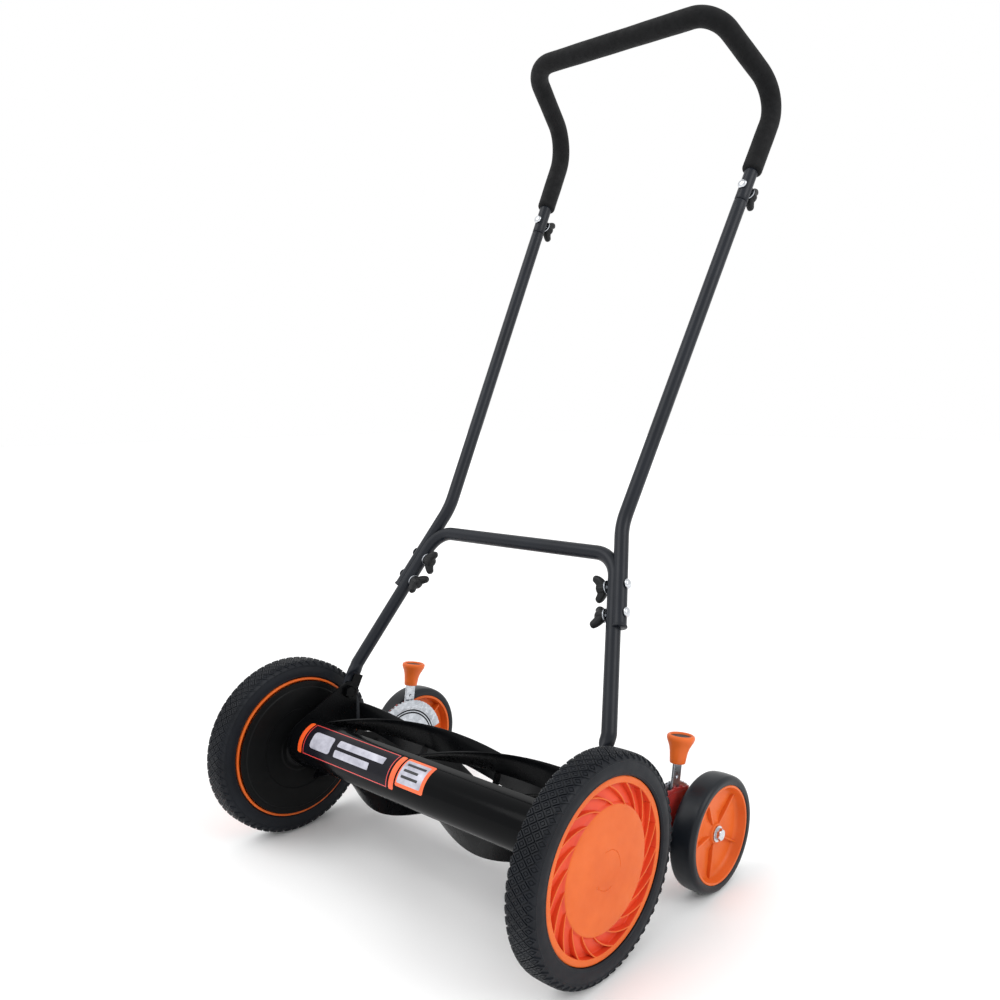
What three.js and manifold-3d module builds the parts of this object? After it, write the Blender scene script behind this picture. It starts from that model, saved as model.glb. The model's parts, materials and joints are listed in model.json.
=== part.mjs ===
// Push reel mower, millimetres, +Z up. X runs along the wheel axles, the mower's front faces -Y.
// The side at +X is the operator's left, the side at -X the operator's right.
import * as THREE from 'three';
import { mergeVertices } from 'three/addons/utils/BufferGeometryUtils.js';
import Module from 'manifold-3d';

const wasm = await Module();
wasm.setup();

// ---------------------------------------------------------------- driving dimensions

const GAP = 0.3; // clearance between pieces that touch in the real object
const ROUND = 10; // sides of a tube or a bolt
const INCH = 25.4;

const WHEEL = { radius: 5 * INCH, outer: 303.4, width: 40.2, rim: 101.3, shoulder: 6 };
const TRACK = { radius: 3 * INCH, y: 238.2, outer: 305, width: 34.7, rim: 63.6, shoulder: 4 };
const AXLE = { y: 0, z: WHEEL.radius };

const GEAR = {
  module: 2.5,
  ringTeeth: 56,
  pinionTeeth: 12,
  backlash: 0.25,
  pressure: THREE.MathUtils.degToRad(20),
};
const GEAR_CENTRES = (GEAR.module * (GEAR.ringTeeth - GEAR.pinionTeeth)) / 2;
// Direction from the wheel axle to the reel shaft, turned from +Y towards +Z.
const REEL_DIRECTION = THREE.MathUtils.degToRad(-6.9);
const REEL = {
  y: AXLE.y + GEAR_CENTRES * Math.cos(REEL_DIRECTION),
  z: AXLE.z + GEAR_CENTRES * Math.sin(REEL_DIRECTION),
  radius: 67,
  halfLength: 228.5,
  blades: 5,
  pitch: 192, // distance along X from one blade to the next
  bladeWidth: 36,
  bladeThickness: 2.5,
  bladeTilt: THREE.MathUtils.degToRad(25),
  phase: THREE.MathUtils.degToRad(50.4),
  shaft: 8,
};
const TWIST_PER_MM = (-2 * Math.PI) / REEL.blades / REEL.pitch; // left-handed

const GEAR_FACE = 266.5; // inner end of the gear ring along the axle

const PLATE = { inner: 232, thickness: 3 };
const PLATE_OUTER = PLATE.inner + PLATE.thickness;
const SHIELD = { y: -5, z: 145, radius: 32, thickness: 2 };
const DUST = { radius: 97, inner: 258.5, outer: 261.5 };

// Angles in degrees from +Y towards +Z, radii from the lever's pivot.
const LEVER_PIVOT = { y: 190, z: TRACK.radius };
const LEVER = {
  inner: 254,
  thickness: 3,
  lean: THREE.MathUtils.degToRad(80.6),
  strap: 18,
  top: 122,
  holeAt: 78,
};
const QUADRANT = { radius: 72, inner: 250, thickness: 2.5, from: 14, to: 150, collar: 13 };
const INDEX = { radius: 76, inner: 258.3, thickness: 3, from: 30, to: 113, notches: 4, notchPitch: 12 };
const KNOB = { from: 96, length: 36, x: LEVER.inner + LEVER.thickness / 2 };

const TUBE = (0.75 * INCH) / 2;
const TUBE_BORE = TUBE - 1.5;
const SPIGOT = TUBE_BORE - GAP;
const FOAM = 14.6;
// Lengths along the handle are measured up its legs from the fold axis.
const HANDLE = { y: 66.4, z: 200, lean: 0.502, footX: 236, footThickness: 4.4, footHalf: 11 };
const LEG = { start: 34, bend: 42.5, bendRadius: 40, slope: -0.313, corner: 263, cornerRadius: 42 };
const MIDDLE = {
  end: 170.5,
  offset: 8.9,
  bend: 304,
  bendX: 161.6,
  bendRadius: 90,
  seam: 801,
  seamX: 189.7,
  spigot: 48,
  hollowFrom: 245,
};
const LOOP = {
  knee: new THREE.Vector3(200.1, 538.3, 1059.7),
  top: new THREE.Vector3(164, 415.3, 1148),
  kneeRadius: 55,
  topRadius: 45,
};
const LOWER_BOLTS = [186, 222];
const UPPER_BOLT = 823;
const FOAM_START = 851;

// Radii of the bores' mates.
const BOLT = { joint: 3, tracking: 5, handle: 5, lever: 6 };
const STUB_AXLE = 8;
const BORE_SIDES = 28;

// ---------------------------------------------------------------- materials

const material = (color, roughness, metalness = 0) =>
  new THREE.MeshStandardMaterial({ color, roughness, metalness });
const steelBlack = () => material(0x17191c, 0.35, 0.3);
const tubeBlack = () => material(0x1d2126, 0.42, 0.3);
const plasticBlack = () => material(0x121315, 0.5);
const rubber = () => material(0x17181a, 0.85);
const foam = () => material(0x1b1c1e, 0.95);
const orange = () => material(0xf07a2c, 0.45);
const zinc = () => material(0xc3c7ca, 0.3, 0.9);
const steel = () => material(0x8e9296, 0.4, 0.9);

// ---------------------------------------------------------------- solids

// Radius of a many-sided bore that clears a round piece of the given radius by GAP at its flats.
const clear = (radius, sides = ROUND) => (radius + GAP) / Math.cos(Math.PI / sides);

function signedVolume(positions, index) {
  const a = new THREE.Vector3();
  const b = new THREE.Vector3();
  const c = new THREE.Vector3();
  let total = 0;
  for (let i = 0; i < index.length; i += 3) {
    a.fromArray(positions, 3 * index[i]);
    b.fromArray(positions, 3 * index[i + 1]);
    c.fromArray(positions, 3 * index[i + 2]);
    total += a.dot(b.cross(c));
  }
  return total;
}

// A closed indexed geometry whose faces point outwards.
function closed(geometry) {
  const bare = geometry.clone();
  bare.deleteAttribute('normal');
  bare.deleteAttribute('uv');
  const merged = mergeVertices(bare, 1e-4);
  const index = [];
  const source = merged.index.array;
  for (let i = 0; i < source.length; i += 3) {
    const [a, b, c] = [source[i], source[i + 1], source[i + 2]];
    if (a !== b && b !== c && c !== a) index.push(a, b, c);
  }
  if (signedVolume(merged.attributes.position.array, index) < 0) index.reverse();
  merged.setIndex(index);
  return merged;
}

function toManifold(geometry) {
  const clean = closed(geometry);
  const mesh = new wasm.Mesh({
    numProp: 3,
    vertProperties: new Float32Array(clean.attributes.position.array),
    triVerts: new Uint32Array(clean.index.array),
  });
  mesh.merge();
  return new wasm.Manifold(mesh);
}

function fromManifold(manifold) {
  const mesh = manifold.getMesh();
  const geometry = new THREE.BufferGeometry();
  geometry.setAttribute('position', new THREE.BufferAttribute(new Float32Array(mesh.vertProperties), 3));
  geometry.setIndex(new THREE.BufferAttribute(new Uint32Array(mesh.triVerts), 1));
  return geometry;
}

function combine(base, added = [], removed = []) {
  let result = toManifold(base);
  for (const geometry of added) result = result.add(toManifold(geometry));
  for (const geometry of removed) result = result.subtract(toManifold(geometry));
  return fromManifold(result);
}

// Profile points are [x, r]; the solid of revolution lies round the line (y, z) parallel to X.
function turned(profile, y = 0, z = 0, segments = ROUND) {
  const points = profile.map(([x, r]) => new THREE.Vector2(r, x));
  const geometry = new THREE.LatheGeometry(points, segments);
  geometry.rotateZ(-Math.PI / 2);
  geometry.translate(0, y, z);
  return geometry;
}

const rod = (x0, x1, radius, y = 0, z = 0, segments = ROUND) =>
  turned([[x0, 0], [x0, radius], [x1, radius], [x1, 0]], y, z, segments);

const sleeve = (x0, x1, inner, outer, y, z, segments = ROUND) =>
  turned([[x0, inner], [x0, outer], [x1, outer], [x1, inner], [x0, inner]], y, z, segments);

const TO_SIDE_VIEW = new THREE.Matrix4().makeBasis(
  new THREE.Vector3(0, 1, 0),
  new THREE.Vector3(0, 0, 1),
  new THREE.Vector3(1, 0, 0),
);

// Extrudes a shape drawn in (y, z) along X from x0.
function plate(shape, x0, thickness, curveSegments = ROUND / 2) {
  const geometry = new THREE.ExtrudeGeometry(shape, { depth: thickness, bevelEnabled: false, curveSegments });
  geometry.applyMatrix4(TO_SIDE_VIEW);
  geometry.translate(x0, 0, 0);
  return geometry;
}

function holeAt(y, z, radius) {
  const path = new THREE.Path();
  path.absarc(y, z, radius, 0, 2 * Math.PI, true);
  return path;
}

const polar = (radius, angle, centre = { y: 0, z: 0 }) =>
  new THREE.Vector2(centre.y + radius * Math.cos(angle), centre.z + radius * Math.sin(angle));

// Convex outline round a list of circles { y, z, r }.
function outlineRound(circles, samples = 16) {
  const points = [];
  for (const circle of circles) {
    for (let i = 0; i < samples; i += 1) points.push(polar(circle.r, (2 * Math.PI * i) / samples, circle));
  }
  points.sort((a, b) => a.x - b.x || a.y - b.y);
  const turn = (o, a, b) => (a.x - o.x) * (b.y - o.y) - (a.y - o.y) * (b.x - o.x);
  const half = (list) => {
    const chain = [];
    for (const point of list) {
      while (chain.length > 1 && turn(chain.at(-2), chain.at(-1), point) <= 0) chain.pop();
      chain.push(point);
    }
    chain.pop();
    return chain;
  };
  return new THREE.Shape([...half(points), ...half([...points].reverse())]);
}

function sector(centre, radius, fromDegrees, toDegrees, hubRadius) {
  const shape = new THREE.Shape();
  const from = THREE.MathUtils.degToRad(fromDegrees);
  const to = THREE.MathUtils.degToRad(toDegrees);
  shape.absarc(centre.y, centre.z, radius, from, to, false);
  shape.absarc(centre.y, centre.z, hubRadius, to + 0.4, from - 0.4 + 2 * Math.PI, false);
  shape.closePath();
  return shape;
}

// A path of stations: straight runs joined by arcs of a given radius at each inner point.
class BentPath extends THREE.Curve {
  constructor(points, radii, arcSteps = 4) {
    super();
    this.stations = [points[0].clone()];
    for (let i = 1; i < points.length - 1; i += 1) {
      const back = points[i - 1].clone().sub(points[i]).normalize();
      const ahead = points[i + 1].clone().sub(points[i]).normalize();
      const half = back.angleTo(ahead) / 2;
      const reach = radii[i - 1] / Math.tan(half);
      const centre = back.clone().add(ahead).normalize();
      centre.multiplyScalar(radii[i - 1] / Math.sin(half)).add(points[i]);
      const start = back.multiplyScalar(reach).add(points[i]).sub(centre);
      const end = ahead.multiplyScalar(reach).add(points[i]).sub(centre);
      const axis = start.clone().cross(end).normalize();
      const sweep = start.angleTo(end);
      for (let k = 0; k <= arcSteps; k += 1) {
        this.stations.push(start.clone().applyAxisAngle(axis, (sweep * k) / arcSteps).add(centre));
      }
    }
    this.stations.push(points.at(-1).clone());
  }

  getPoint(t, target = new THREE.Vector3()) {
    const place = t * (this.stations.length - 1);
    const i = Math.min(Math.floor(place), this.stations.length - 2);
    return target.copy(this.stations[i]).lerp(this.stations[i + 1], place - i);
  }

  getPointAt(u, target) {
    return this.getPoint(u, target);
  }

  getTangentAt(u, target = new THREE.Vector3()) {
    const last = this.stations.length - 1;
    const i = Math.round(u * last);
    const tangent = target.set(0, 0, 0);
    if (i > 0) tangent.add(this.stations[i].clone().sub(this.stations[i - 1]).normalize());
    if (i < last) tangent.add(this.stations[i + 1].clone().sub(this.stations[i]).normalize());
    return tangent.normalize();
  }
}

const circlePoints = (radius, sides) =>
  Array.from({ length: sides }, (_, i) => polar(radius, (2 * Math.PI * i) / sides));

function tubeAlong(path, outer, inner = 0, innerSides = ROUND) {
  const shape = new THREE.Shape(circlePoints(outer, ROUND));
  if (inner > 0) shape.holes.push(new THREE.Path(circlePoints(inner, innerSides)));
  return new THREE.ExtrudeGeometry(shape, {
    steps: path.stations.length - 1,
    extrudePath: path,
    bevelEnabled: false,
  });
}

// Turns a geometry drawn along local X so that it starts at origin and points along direction.
function placed(geometry, origin, direction, up) {
  const x = direction.clone().normalize();
  const y = up.clone().cross(x).normalize();
  const z = x.clone().cross(y);
  const result = geometry.clone();
  result.applyMatrix4(new THREE.Matrix4().makeBasis(x, y, z).setPosition(origin));
  return result;
}

function mirrored(geometry) {
  const result = closed(geometry);
  result.scale(-1, 1, 1);
  result.setIndex([...result.index.array].reverse());
  return result;
}

const group = new THREE.Group();
group.name = 'reel_mower';

function addPiece(name, geometry, surface) {
  const shown = fromManifold(toManifold(geometry)).toNonIndexed();
  shown.computeVertexNormals();
  const mesh = new THREE.Mesh(shown, surface);
  mesh.name = name;
  group.add(mesh);
}

function addPair(name, geometry, surface) {
  addPiece(`${name}_left`, geometry, surface());
  addPiece(`${name}_right`, mirrored(geometry), surface());
}

// ---------------------------------------------------------------- gear outlines

const involute = (angle) => Math.tan(angle) - angle;

function gearOutline(teeth, rootRadius, tipRadius, extraThickness, centre, phase, samples) {
  const pitchRadius = (GEAR.module * teeth) / 2;
  const base = pitchRadius * Math.cos(GEAR.pressure);
  const halfAtPitch = Math.PI / 2 / teeth + extraThickness / 2 / pitchRadius;
  const halfAt = (r) => {
    const pressure = Math.acos(Math.min(1, base / r));
    return halfAtPitch + involute(GEAR.pressure) - involute(pressure);
  };
  const points = [];
  for (let tooth = 0; tooth < teeth; tooth += 1) {
    const middle = phase + (2 * Math.PI * tooth) / teeth;
    for (let k = 0; k <= samples; k += 1) {
      const r = rootRadius + ((tipRadius - rootRadius) * k) / samples;
      points.push(polar(r, middle - halfAt(r), centre));
    }
    for (let k = samples; k >= 0; k -= 1) {
      const r = rootRadius + ((tipRadius - rootRadius) * k) / samples;
      points.push(polar(r, middle + halfAt(r), centre));
    }
  }
  return points;
}

// ---------------------------------------------------------------- deck

function sidePlate() {
  const middle = [
    { y: AXLE.y, z: AXLE.z, r: 24 },
    { y: REEL.y, z: REEL.z, r: 22 },
  ];
  const front = outlineRound([
    ...middle,
    { y: SHIELD.y, z: SHIELD.z, r: SHIELD.radius + 2 },
    { y: HANDLE.y, z: HANDLE.z, r: 15 },
  ]);
  const rear = outlineRound([
    ...middle,
    { y: LEVER_PIVOT.y, z: LEVER_PIVOT.z, r: 20 },
    { y: 104, z: 62, r: 18 },
  ]);
  const bores = [
    [AXLE, STUB_AXLE],
    [REEL, REEL.shaft],
    [HANDLE, BOLT.handle],
    [LEVER_PIVOT, BOLT.lever],
  ].map(([at, radius]) => rod(PLATE.inner - 1, PLATE_OUTER + 1, clear(radius), at.y, at.z));
  // The tab behind the handle's foot, which the handle rests on, and the web that carries it.
  const tab = { width: 10, thickness: 4, height: 14, up: 22, overlap: 0.4 };
  const stop = new THREE.BoxGeometry(tab.width, tab.thickness, tab.height);
  stop.rotateX(-HANDLE.lean);
  const contact = handlePoint(0, tab.up, HANDLE.footHalf + GAP + tab.thickness / 2);
  stop.translate(PLATE_OUTER - tab.overlap + tab.width / 2, contact.y, contact.z);
  const web = new THREE.BoxGeometry(PLATE.thickness, 16, 24);
  web.rotateX(-HANDLE.lean);
  const webCentre = handlePoint(0, 17, 7.3);
  web.translate(PLATE.inner + PLATE.thickness / 2, webCentre.y, webCentre.z);
  const rearPlate = plate(rear, PLATE.inner, PLATE.thickness);
  return combine(plate(front, PLATE.inner, PLATE.thickness), [rearPlate, web, stop], bores);
}

// A point in the plane of the handle: x across, s up along the legs, back behind the plane.
function handlePoint(x, s, back = 0) {
  const sine = Math.sin(HANDLE.lean);
  const cosine = Math.cos(HANDLE.lean);
  return new THREE.Vector3(x, HANDLE.y + s * sine + back * cosine, HANDLE.z + s * cosine - back * sine);
}

function frontShield() {
  const steps = 12;
  const from = THREE.MathUtils.degToRad(84);
  const to = THREE.MathUtils.degToRad(232);
  const outer = [];
  const inner = [];
  for (let i = 0; i <= steps; i += 1) {
    const angle = from + ((to - from) * i) / steps;
    outer.push(polar(SHIELD.radius, angle, SHIELD));
    inner.unshift(polar(SHIELD.radius - SHIELD.thickness, angle, SHIELD));
  }
  const lip = SHIELD.y + 9;
  const lipDepth = 7;
  const top = outer[0].y;
  const lipOuter = [new THREE.Vector2(lip, top - lipDepth), new THREE.Vector2(lip, top)];
  const lipInner = [
    new THREE.Vector2(lip - SHIELD.thickness, top - SHIELD.thickness),
    new THREE.Vector2(lip - SHIELD.thickness, top - lipDepth),
  ];
  const shape = new THREE.Shape([...lipOuter, ...outer, ...inner, ...lipInner]);
  const half = PLATE.inner - GAP;
  return plate(shape, -half, 2 * half);
}

const CUTTER_BAR = { front: 92, rear: 124, foot: 57.4, top: 96, flange: 6, wall: 5 };

// An angle section behind the reel.
function cutterBar() {
  const half = PLATE.inner - GAP;
  const { front, rear, foot, top, flange, wall } = CUTTER_BAR;
  const shape = new THREE.Shape([
    new THREE.Vector2(front, foot),
    new THREE.Vector2(rear, foot),
    new THREE.Vector2(rear, top),
    new THREE.Vector2(rear - wall, top),
    new THREE.Vector2(rear - wall, foot + flange),
    new THREE.Vector2(front, foot + flange),
  ]);
  return plate(shape, -half, 2 * half);
}

function bedKnife() {
  const half = REEL.halfLength;
  const lipAngle = THREE.MathUtils.degToRad(20);
  const lipY = REEL.y + (REEL.radius + GAP) * Math.sin(lipAngle);
  const top = CUTTER_BAR.foot - GAP;
  const rear = CUTTER_BAR.rear - 10;
  const thickness = 3.4;
  const edge = 1.2;
  const bevel = 6;
  const shape = new THREE.Shape([
    new THREE.Vector2(lipY, top),
    new THREE.Vector2(lipY, top - edge),
    new THREE.Vector2(lipY + bevel, top - thickness),
    new THREE.Vector2(rear, top - thickness),
    new THREE.Vector2(rear, top),
  ]);
  return plate(shape, -half, 2 * half);
}

function dustCover() {
  const boss = 21;
  const bore = clear(STUB_AXLE, BORE_SIDES);
  const disc = turned(
    [
      [PLATE_OUTER + GAP, bore],
      [PLATE_OUTER + GAP, boss],
      [DUST.inner - 3, boss],
      [DUST.inner, boss + 5],
      [DUST.inner, DUST.radius - 3],
      [DUST.inner + 1, DUST.radius],
      [DUST.outer, DUST.radius],
      [DUST.outer, bore],
      [PLATE_OUTER + GAP, bore],
    ],
    AXLE.y,
    AXLE.z,
    32,
  );
  return combine(disc, [], [rod(DUST.inner - 30, DUST.outer + 2, REEL.shaft + 2, REEL.y, REEL.z)]);
}

const AXLE_END = 291;

const wheelAxle = () =>
  turned(
    [
      [PLATE.inner - 2.6, 0],
      [PLATE.inner - 2.6, 11],
      [PLATE.inner - GAP, 13],
      [PLATE.inner - GAP, STUB_AXLE],
      [AXLE_END, STUB_AXLE],
      [AXLE_END, 0],
    ],
    AXLE.y,
    AXLE.z,
  );

function quadrant() {
  const shape = sector(LEVER_PIVOT, QUADRANT.radius, QUADRANT.from, QUADRANT.to, QUADRANT.collar + 2);
  shape.holes.push(holeAt(LEVER_PIVOT.y, LEVER_PIVOT.z, clear(BOLT.lever)));
  const collar = sleeve(
    PLATE_OUTER + GAP,
    QUADRANT.inner + 1,
    clear(BOLT.lever),
    QUADRANT.collar,
    LEVER_PIVOT.y,
    LEVER_PIVOT.z,
  );
  return combine(plate(shape, QUADRANT.inner, QUADRANT.thickness), [collar]);
}

function indexPlate() {
  const shape = sector(LEVER_PIVOT, INDEX.radius, INDEX.from, INDEX.to, QUADRANT.collar + 1);
  shape.holes.push(holeAt(LEVER_PIVOT.y, LEVER_PIVOT.z, clear(BOLT.lever)));
  const notches = [];
  for (let i = 0; i < INDEX.notches; i += 1) {
    const angle = LEVER.lean + THREE.MathUtils.degToRad(INDEX.notchPitch * (i - INDEX.notches / 2));
    const at = polar(INDEX.radius, angle, LEVER_PIVOT);
    notches.push(rod(INDEX.inner - 1, INDEX.inner + INDEX.thickness + 1, 4, at.x, at.y));
  }
  return combine(plate(shape, INDEX.inner, INDEX.thickness), [], notches);
}

const NUT_HEIGHT = 5.5;

function handleBolt() {
  const head = PLATE_OUTER + HANDLE.footThickness + 2 * GAP;
  const headRadius = 9;
  const nut = PLATE.inner - NUT_HEIGHT;
  return turned(
    [
      [nut, 0],
      [nut, headRadius],
      [PLATE.inner - GAP, headRadius],
      [PLATE.inner - GAP, BOLT.handle],
      [head, BOLT.handle],
      [head, headRadius],
      [head + 4, headRadius],
      [head + 5.5, 6],
      [head + 5.5, 0],
    ],
    HANDLE.y,
    HANDLE.z,
    12,
  );
}

function leverBolt() {
  const head = INDEX.inner + INDEX.thickness + GAP;
  const headRadius = 10;
  const nut = PLATE.inner - NUT_HEIGHT;
  return turned(
    [
      [nut, 0],
      [nut, headRadius],
      [PLATE.inner - GAP, headRadius],
      [PLATE.inner - GAP, BOLT.lever],
      [head, BOLT.lever],
      [head, headRadius],
      [head + 4, headRadius],
      [head + 4, 0],
    ],
    LEVER_PIVOT.y,
    LEVER_PIVOT.z,
    12,
  );
}

addPair('side_plate', sidePlate(), steelBlack);
addPair('dust_cover', dustCover(), plasticBlack);
addPiece('front_shield', frontShield(), steelBlack());
addPiece('cutter_bar', cutterBar(), steelBlack());
addPiece('bed_knife', bedKnife(), steel());
addPair('wheel_axle', wheelAxle(), steel);
addPair('quadrant', quadrant(), zinc);
addPair('index_plate', indexPlate(), () => material(0xb8402a, 0.5));
addPair('handle_bolt', handleBolt(), zinc);
addPair('lever_bolt', leverBolt(), zinc);

// ---------------------------------------------------------------- main wheels

function tyreRing(size, segments) {
  const inner = size.outer - size.width;
  const s = size.shoulder;
  const bore = clear(size.rim, segments);
  return turned(
    [
      [inner, bore],
      [inner, size.radius - 2.2 * s],
      [inner + 0.35 * s, size.radius - 0.6 * s],
      [inner + 1.2 * s, size.radius],
      [size.outer - 1.2 * s, size.radius],
      [size.outer - 0.35 * s, size.radius - 0.6 * s],
      [size.outer, size.radius - 2.2 * s],
      [size.outer, bore],
      [inner, bore],
    ],
    size.y ?? AXLE.y,
    size.radius,
    segments,
  );
}

// A dished wheel: domed centre, ring-shaped pocket and flat flange outside, gear ring inside.
function mainWheel() {
  const inner = WHEEL.outer - WHEEL.width - 0.5;
  const face = WHEEL.outer - 3.4;
  const pocket = face - 6;
  const back = 289;
  const hub = 17;
  const bore = clear(STUB_AXLE, BORE_SIDES);
  const body = turned(
    [
      [face + 0.9, 0],
      [face - 0.3, 70],
      [pocket, 72],
      [pocket, 92],
      [face, 93.5],
      [face, WHEEL.rim],
      [inner, WHEEL.rim],
      [inner, DUST.radius + 1],
      [back, DUST.radius - 1],
      [back, hub],
      [DUST.outer + 3, hub],
      [DUST.outer + 3, bore],
      [AXLE_END + 0.5, bore],
      [AXLE_END + 0.5, 0],
    ],
    AXLE.y,
    AXLE.z,
    28,
  );
  const ringRadius = (GEAR.module * GEAR.ringTeeth) / 2;
  const ringShape = new THREE.Shape();
  ringShape.absarc(AXLE.y, AXLE.z, ringRadius + 8, 0, 2 * Math.PI, false);
  const crest = ringRadius - 1;
  const root = ringRadius + 2.6;
  const spaces = gearOutline(GEAR.ringTeeth, crest, root, GEAR.backlash, AXLE, REEL_DIRECTION, 1);
  ringShape.holes.push(new THREE.Path(spaces));
  const ring = plate(ringShape, GEAR_FACE, back + 0.5 - GEAR_FACE, 12);
  return combine(body, [ring]);
}

addPair('tyre', tyreRing(WHEEL, 40), rubber);
addPair('main_wheel', mainWheel(), orange);

// ---------------------------------------------------------------- reel and pinions

// How far the middle of a blade's outer edge lies inside the cutting circle.
const BLADE_EDGE = 0.6;

function bladeStrip(index) {
  const steps = 18;
  const length = 2 * REEL.halfLength;
  const strip = new THREE.BoxGeometry(length, REEL.bladeWidth, REEL.bladeThickness, steps, 1, 1);
  const position = strip.attributes.position;
  const start = REEL.phase + (2 * Math.PI * index) / REEL.blades;
  const reach = REEL.radius - BLADE_EDGE;
  for (let i = 0; i < position.count; i += 1) {
    const x = position.getX(i);
    const inward = REEL.bladeWidth / 2 - position.getY(i);
    const across = position.getZ(i);
    const radial = reach - inward * Math.cos(REEL.bladeTilt) - across * Math.sin(REEL.bladeTilt);
    const sideways = -inward * Math.sin(REEL.bladeTilt) + across * Math.cos(REEL.bladeTilt);
    const angle = start + x * TWIST_PER_MM;
    position.setXYZ(
      i,
      x,
      REEL.y + radial * Math.cos(angle) - sideways * Math.sin(angle),
      REEL.z + radial * Math.sin(angle) + sideways * Math.cos(angle),
    );
  }
  return strip;
}

function spider(x) {
  const innerY = REEL.radius - BLADE_EDGE - REEL.bladeWidth * Math.cos(REEL.bladeTilt);
  const innerZ = -REEL.bladeWidth * Math.sin(REEL.bladeTilt);
  const reach = Math.hypot(innerY, innerZ) - REEL.bladeThickness / 2 - 2 * GAP;
  const lag = Math.atan2(innerZ, innerY);
  const half = 5;
  const hub = 16;
  const thickness = 3;
  const points = [];
  for (let i = 0; i < REEL.blades; i += 1) {
    const angle = REEL.phase + lag + x * TWIST_PER_MM + (2 * Math.PI * i) / REEL.blades;
    const along = new THREE.Vector2(Math.cos(angle), Math.sin(angle));
    const side = new THREE.Vector2(-along.y, along.x);
    for (const [r, w] of [[hub, -half], [reach, -half], [reach, half], [hub, half]]) {
      points.push(new THREE.Vector2(REEL.y + along.x * r + side.x * w, REEL.z + along.y * r + side.y * w));
    }
  }
  const shape = new THREE.Shape(points);
  shape.holes.push(holeAt(REEL.y, REEL.z, clear(REEL.shaft)));
  return plate(shape, x - thickness / 2, thickness);
}

const SPIDERS = [-222, -74, 74, 222];
const SHAFT_END = 286;
addPiece('reel_shaft', rod(-SHAFT_END, SHAFT_END, REEL.shaft, REEL.y, REEL.z), steel());
for (let i = 0; i < REEL.blades; i += 1) addPiece(`reel_blade_${i + 1}`, bladeStrip(i), steelBlack());
SPIDERS.forEach((x, i) => addPiece(`reel_spider_${i + 1}`, spider(x), steelBlack()));

function pinion() {
  const radius = (GEAR.module * GEAR.pinionTeeth) / 2;
  const root = radius - 3;
  const crest = radius + 2.2;
  const outline = gearOutline(GEAR.pinionTeeth, root, crest, -GEAR.backlash, REEL, REEL_DIRECTION, 1);
  const shape = new THREE.Shape(outline);
  shape.holes.push(holeAt(REEL.y, REEL.z, clear(REEL.shaft)));
  return plate(shape, GEAR_FACE + 0.5, 18);
}

addPair('pinion', pinion(), steel);

// ---------------------------------------------------------------- height levers and tracking wheels

const leverDirection = new THREE.Vector3(0, Math.cos(LEVER.lean), Math.sin(LEVER.lean));

function leverArm() {
  const shape = outlineRound([
    { y: LEVER_PIVOT.y, z: LEVER_PIVOT.z, r: 16 },
    { y: TRACK.y, z: TRACK.radius, r: 13 },
  ]);
  shape.holes.push(holeAt(LEVER_PIVOT.y, LEVER_PIVOT.z, clear(BOLT.lever)));
  shape.holes.push(holeAt(TRACK.y, TRACK.radius, clear(BOLT.tracking)));
  const strapFrom = 10;
  const strap = new THREE.BoxGeometry(LEVER.thickness, LEVER.strap, LEVER.top - strapFrom);
  strap.translate(0, 0, (LEVER.top + strapFrom) / 2);
  strap.rotateX(LEVER.lean - Math.PI / 2);
  strap.translate(KNOB.x, LEVER_PIVOT.y, LEVER_PIVOT.z);
  const hole = polar(LEVER.holeAt, LEVER.lean, LEVER_PIVOT);
  return combine(
    plate(shape, LEVER.inner, LEVER.thickness),
    [strap],
    [rod(LEVER.inner - 2, LEVER.inner + 6, 2, hole.x, hole.y, 8)],
  );
}

function leverKnob() {
  const profile = [
    [0, 0],
    [0, 9.4],
    [1, 10],
    [14, 11.4],
    [22, 13.8],
    [28, 17.4],
    [33, 18.2],
    [KNOB.length, 16.4],
    [KNOB.length, 13],
    [KNOB.length - 3, 12.4],
    [KNOB.length - 3, 0],
  ];
  const body = turned(profile, 0, 0, 12);
  const cut = 60;
  const pocket = new THREE.BoxGeometry(cut, LEVER.strap + 2 * GAP, LEVER.thickness + 2 * GAP);
  pocket.translate(LEVER.top - KNOB.from + GAP - cut / 2, 0, 0);
  const knob = combine(body, [], [pocket]);
  const origin = new THREE.Vector3(KNOB.x, LEVER_PIVOT.y, LEVER_PIVOT.z);
  origin.addScaledVector(leverDirection, KNOB.from);
  return placed(knob, origin, leverDirection, new THREE.Vector3(1, 0, 0));
}

const HUB = { inner: 264, outer: 296, boss: 12, web: 284, ribs: 5, ribFrom: THREE.MathUtils.degToRad(40) };

// Bolt with a washer and a hexagon head outside the hub.
function trackingAxle() {
  const washer = HUB.outer + 0.5;
  const head = washer + 1.5;
  const shank = turned(
    [
      [LEVER.inner - 0.4, 0],
      [LEVER.inner - 0.4, BOLT.tracking],
      [washer, BOLT.tracking],
      [washer, 10.5],
      [head, 10.5],
      [head, 4],
      [head + 2, 4],
      [head + 2, 0],
    ],
    TRACK.y,
    TRACK.radius,
  );
  return combine(shank, [rod(head - 0.5, head + 5.6, 8, TRACK.y, TRACK.radius, 6)]);
}

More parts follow.
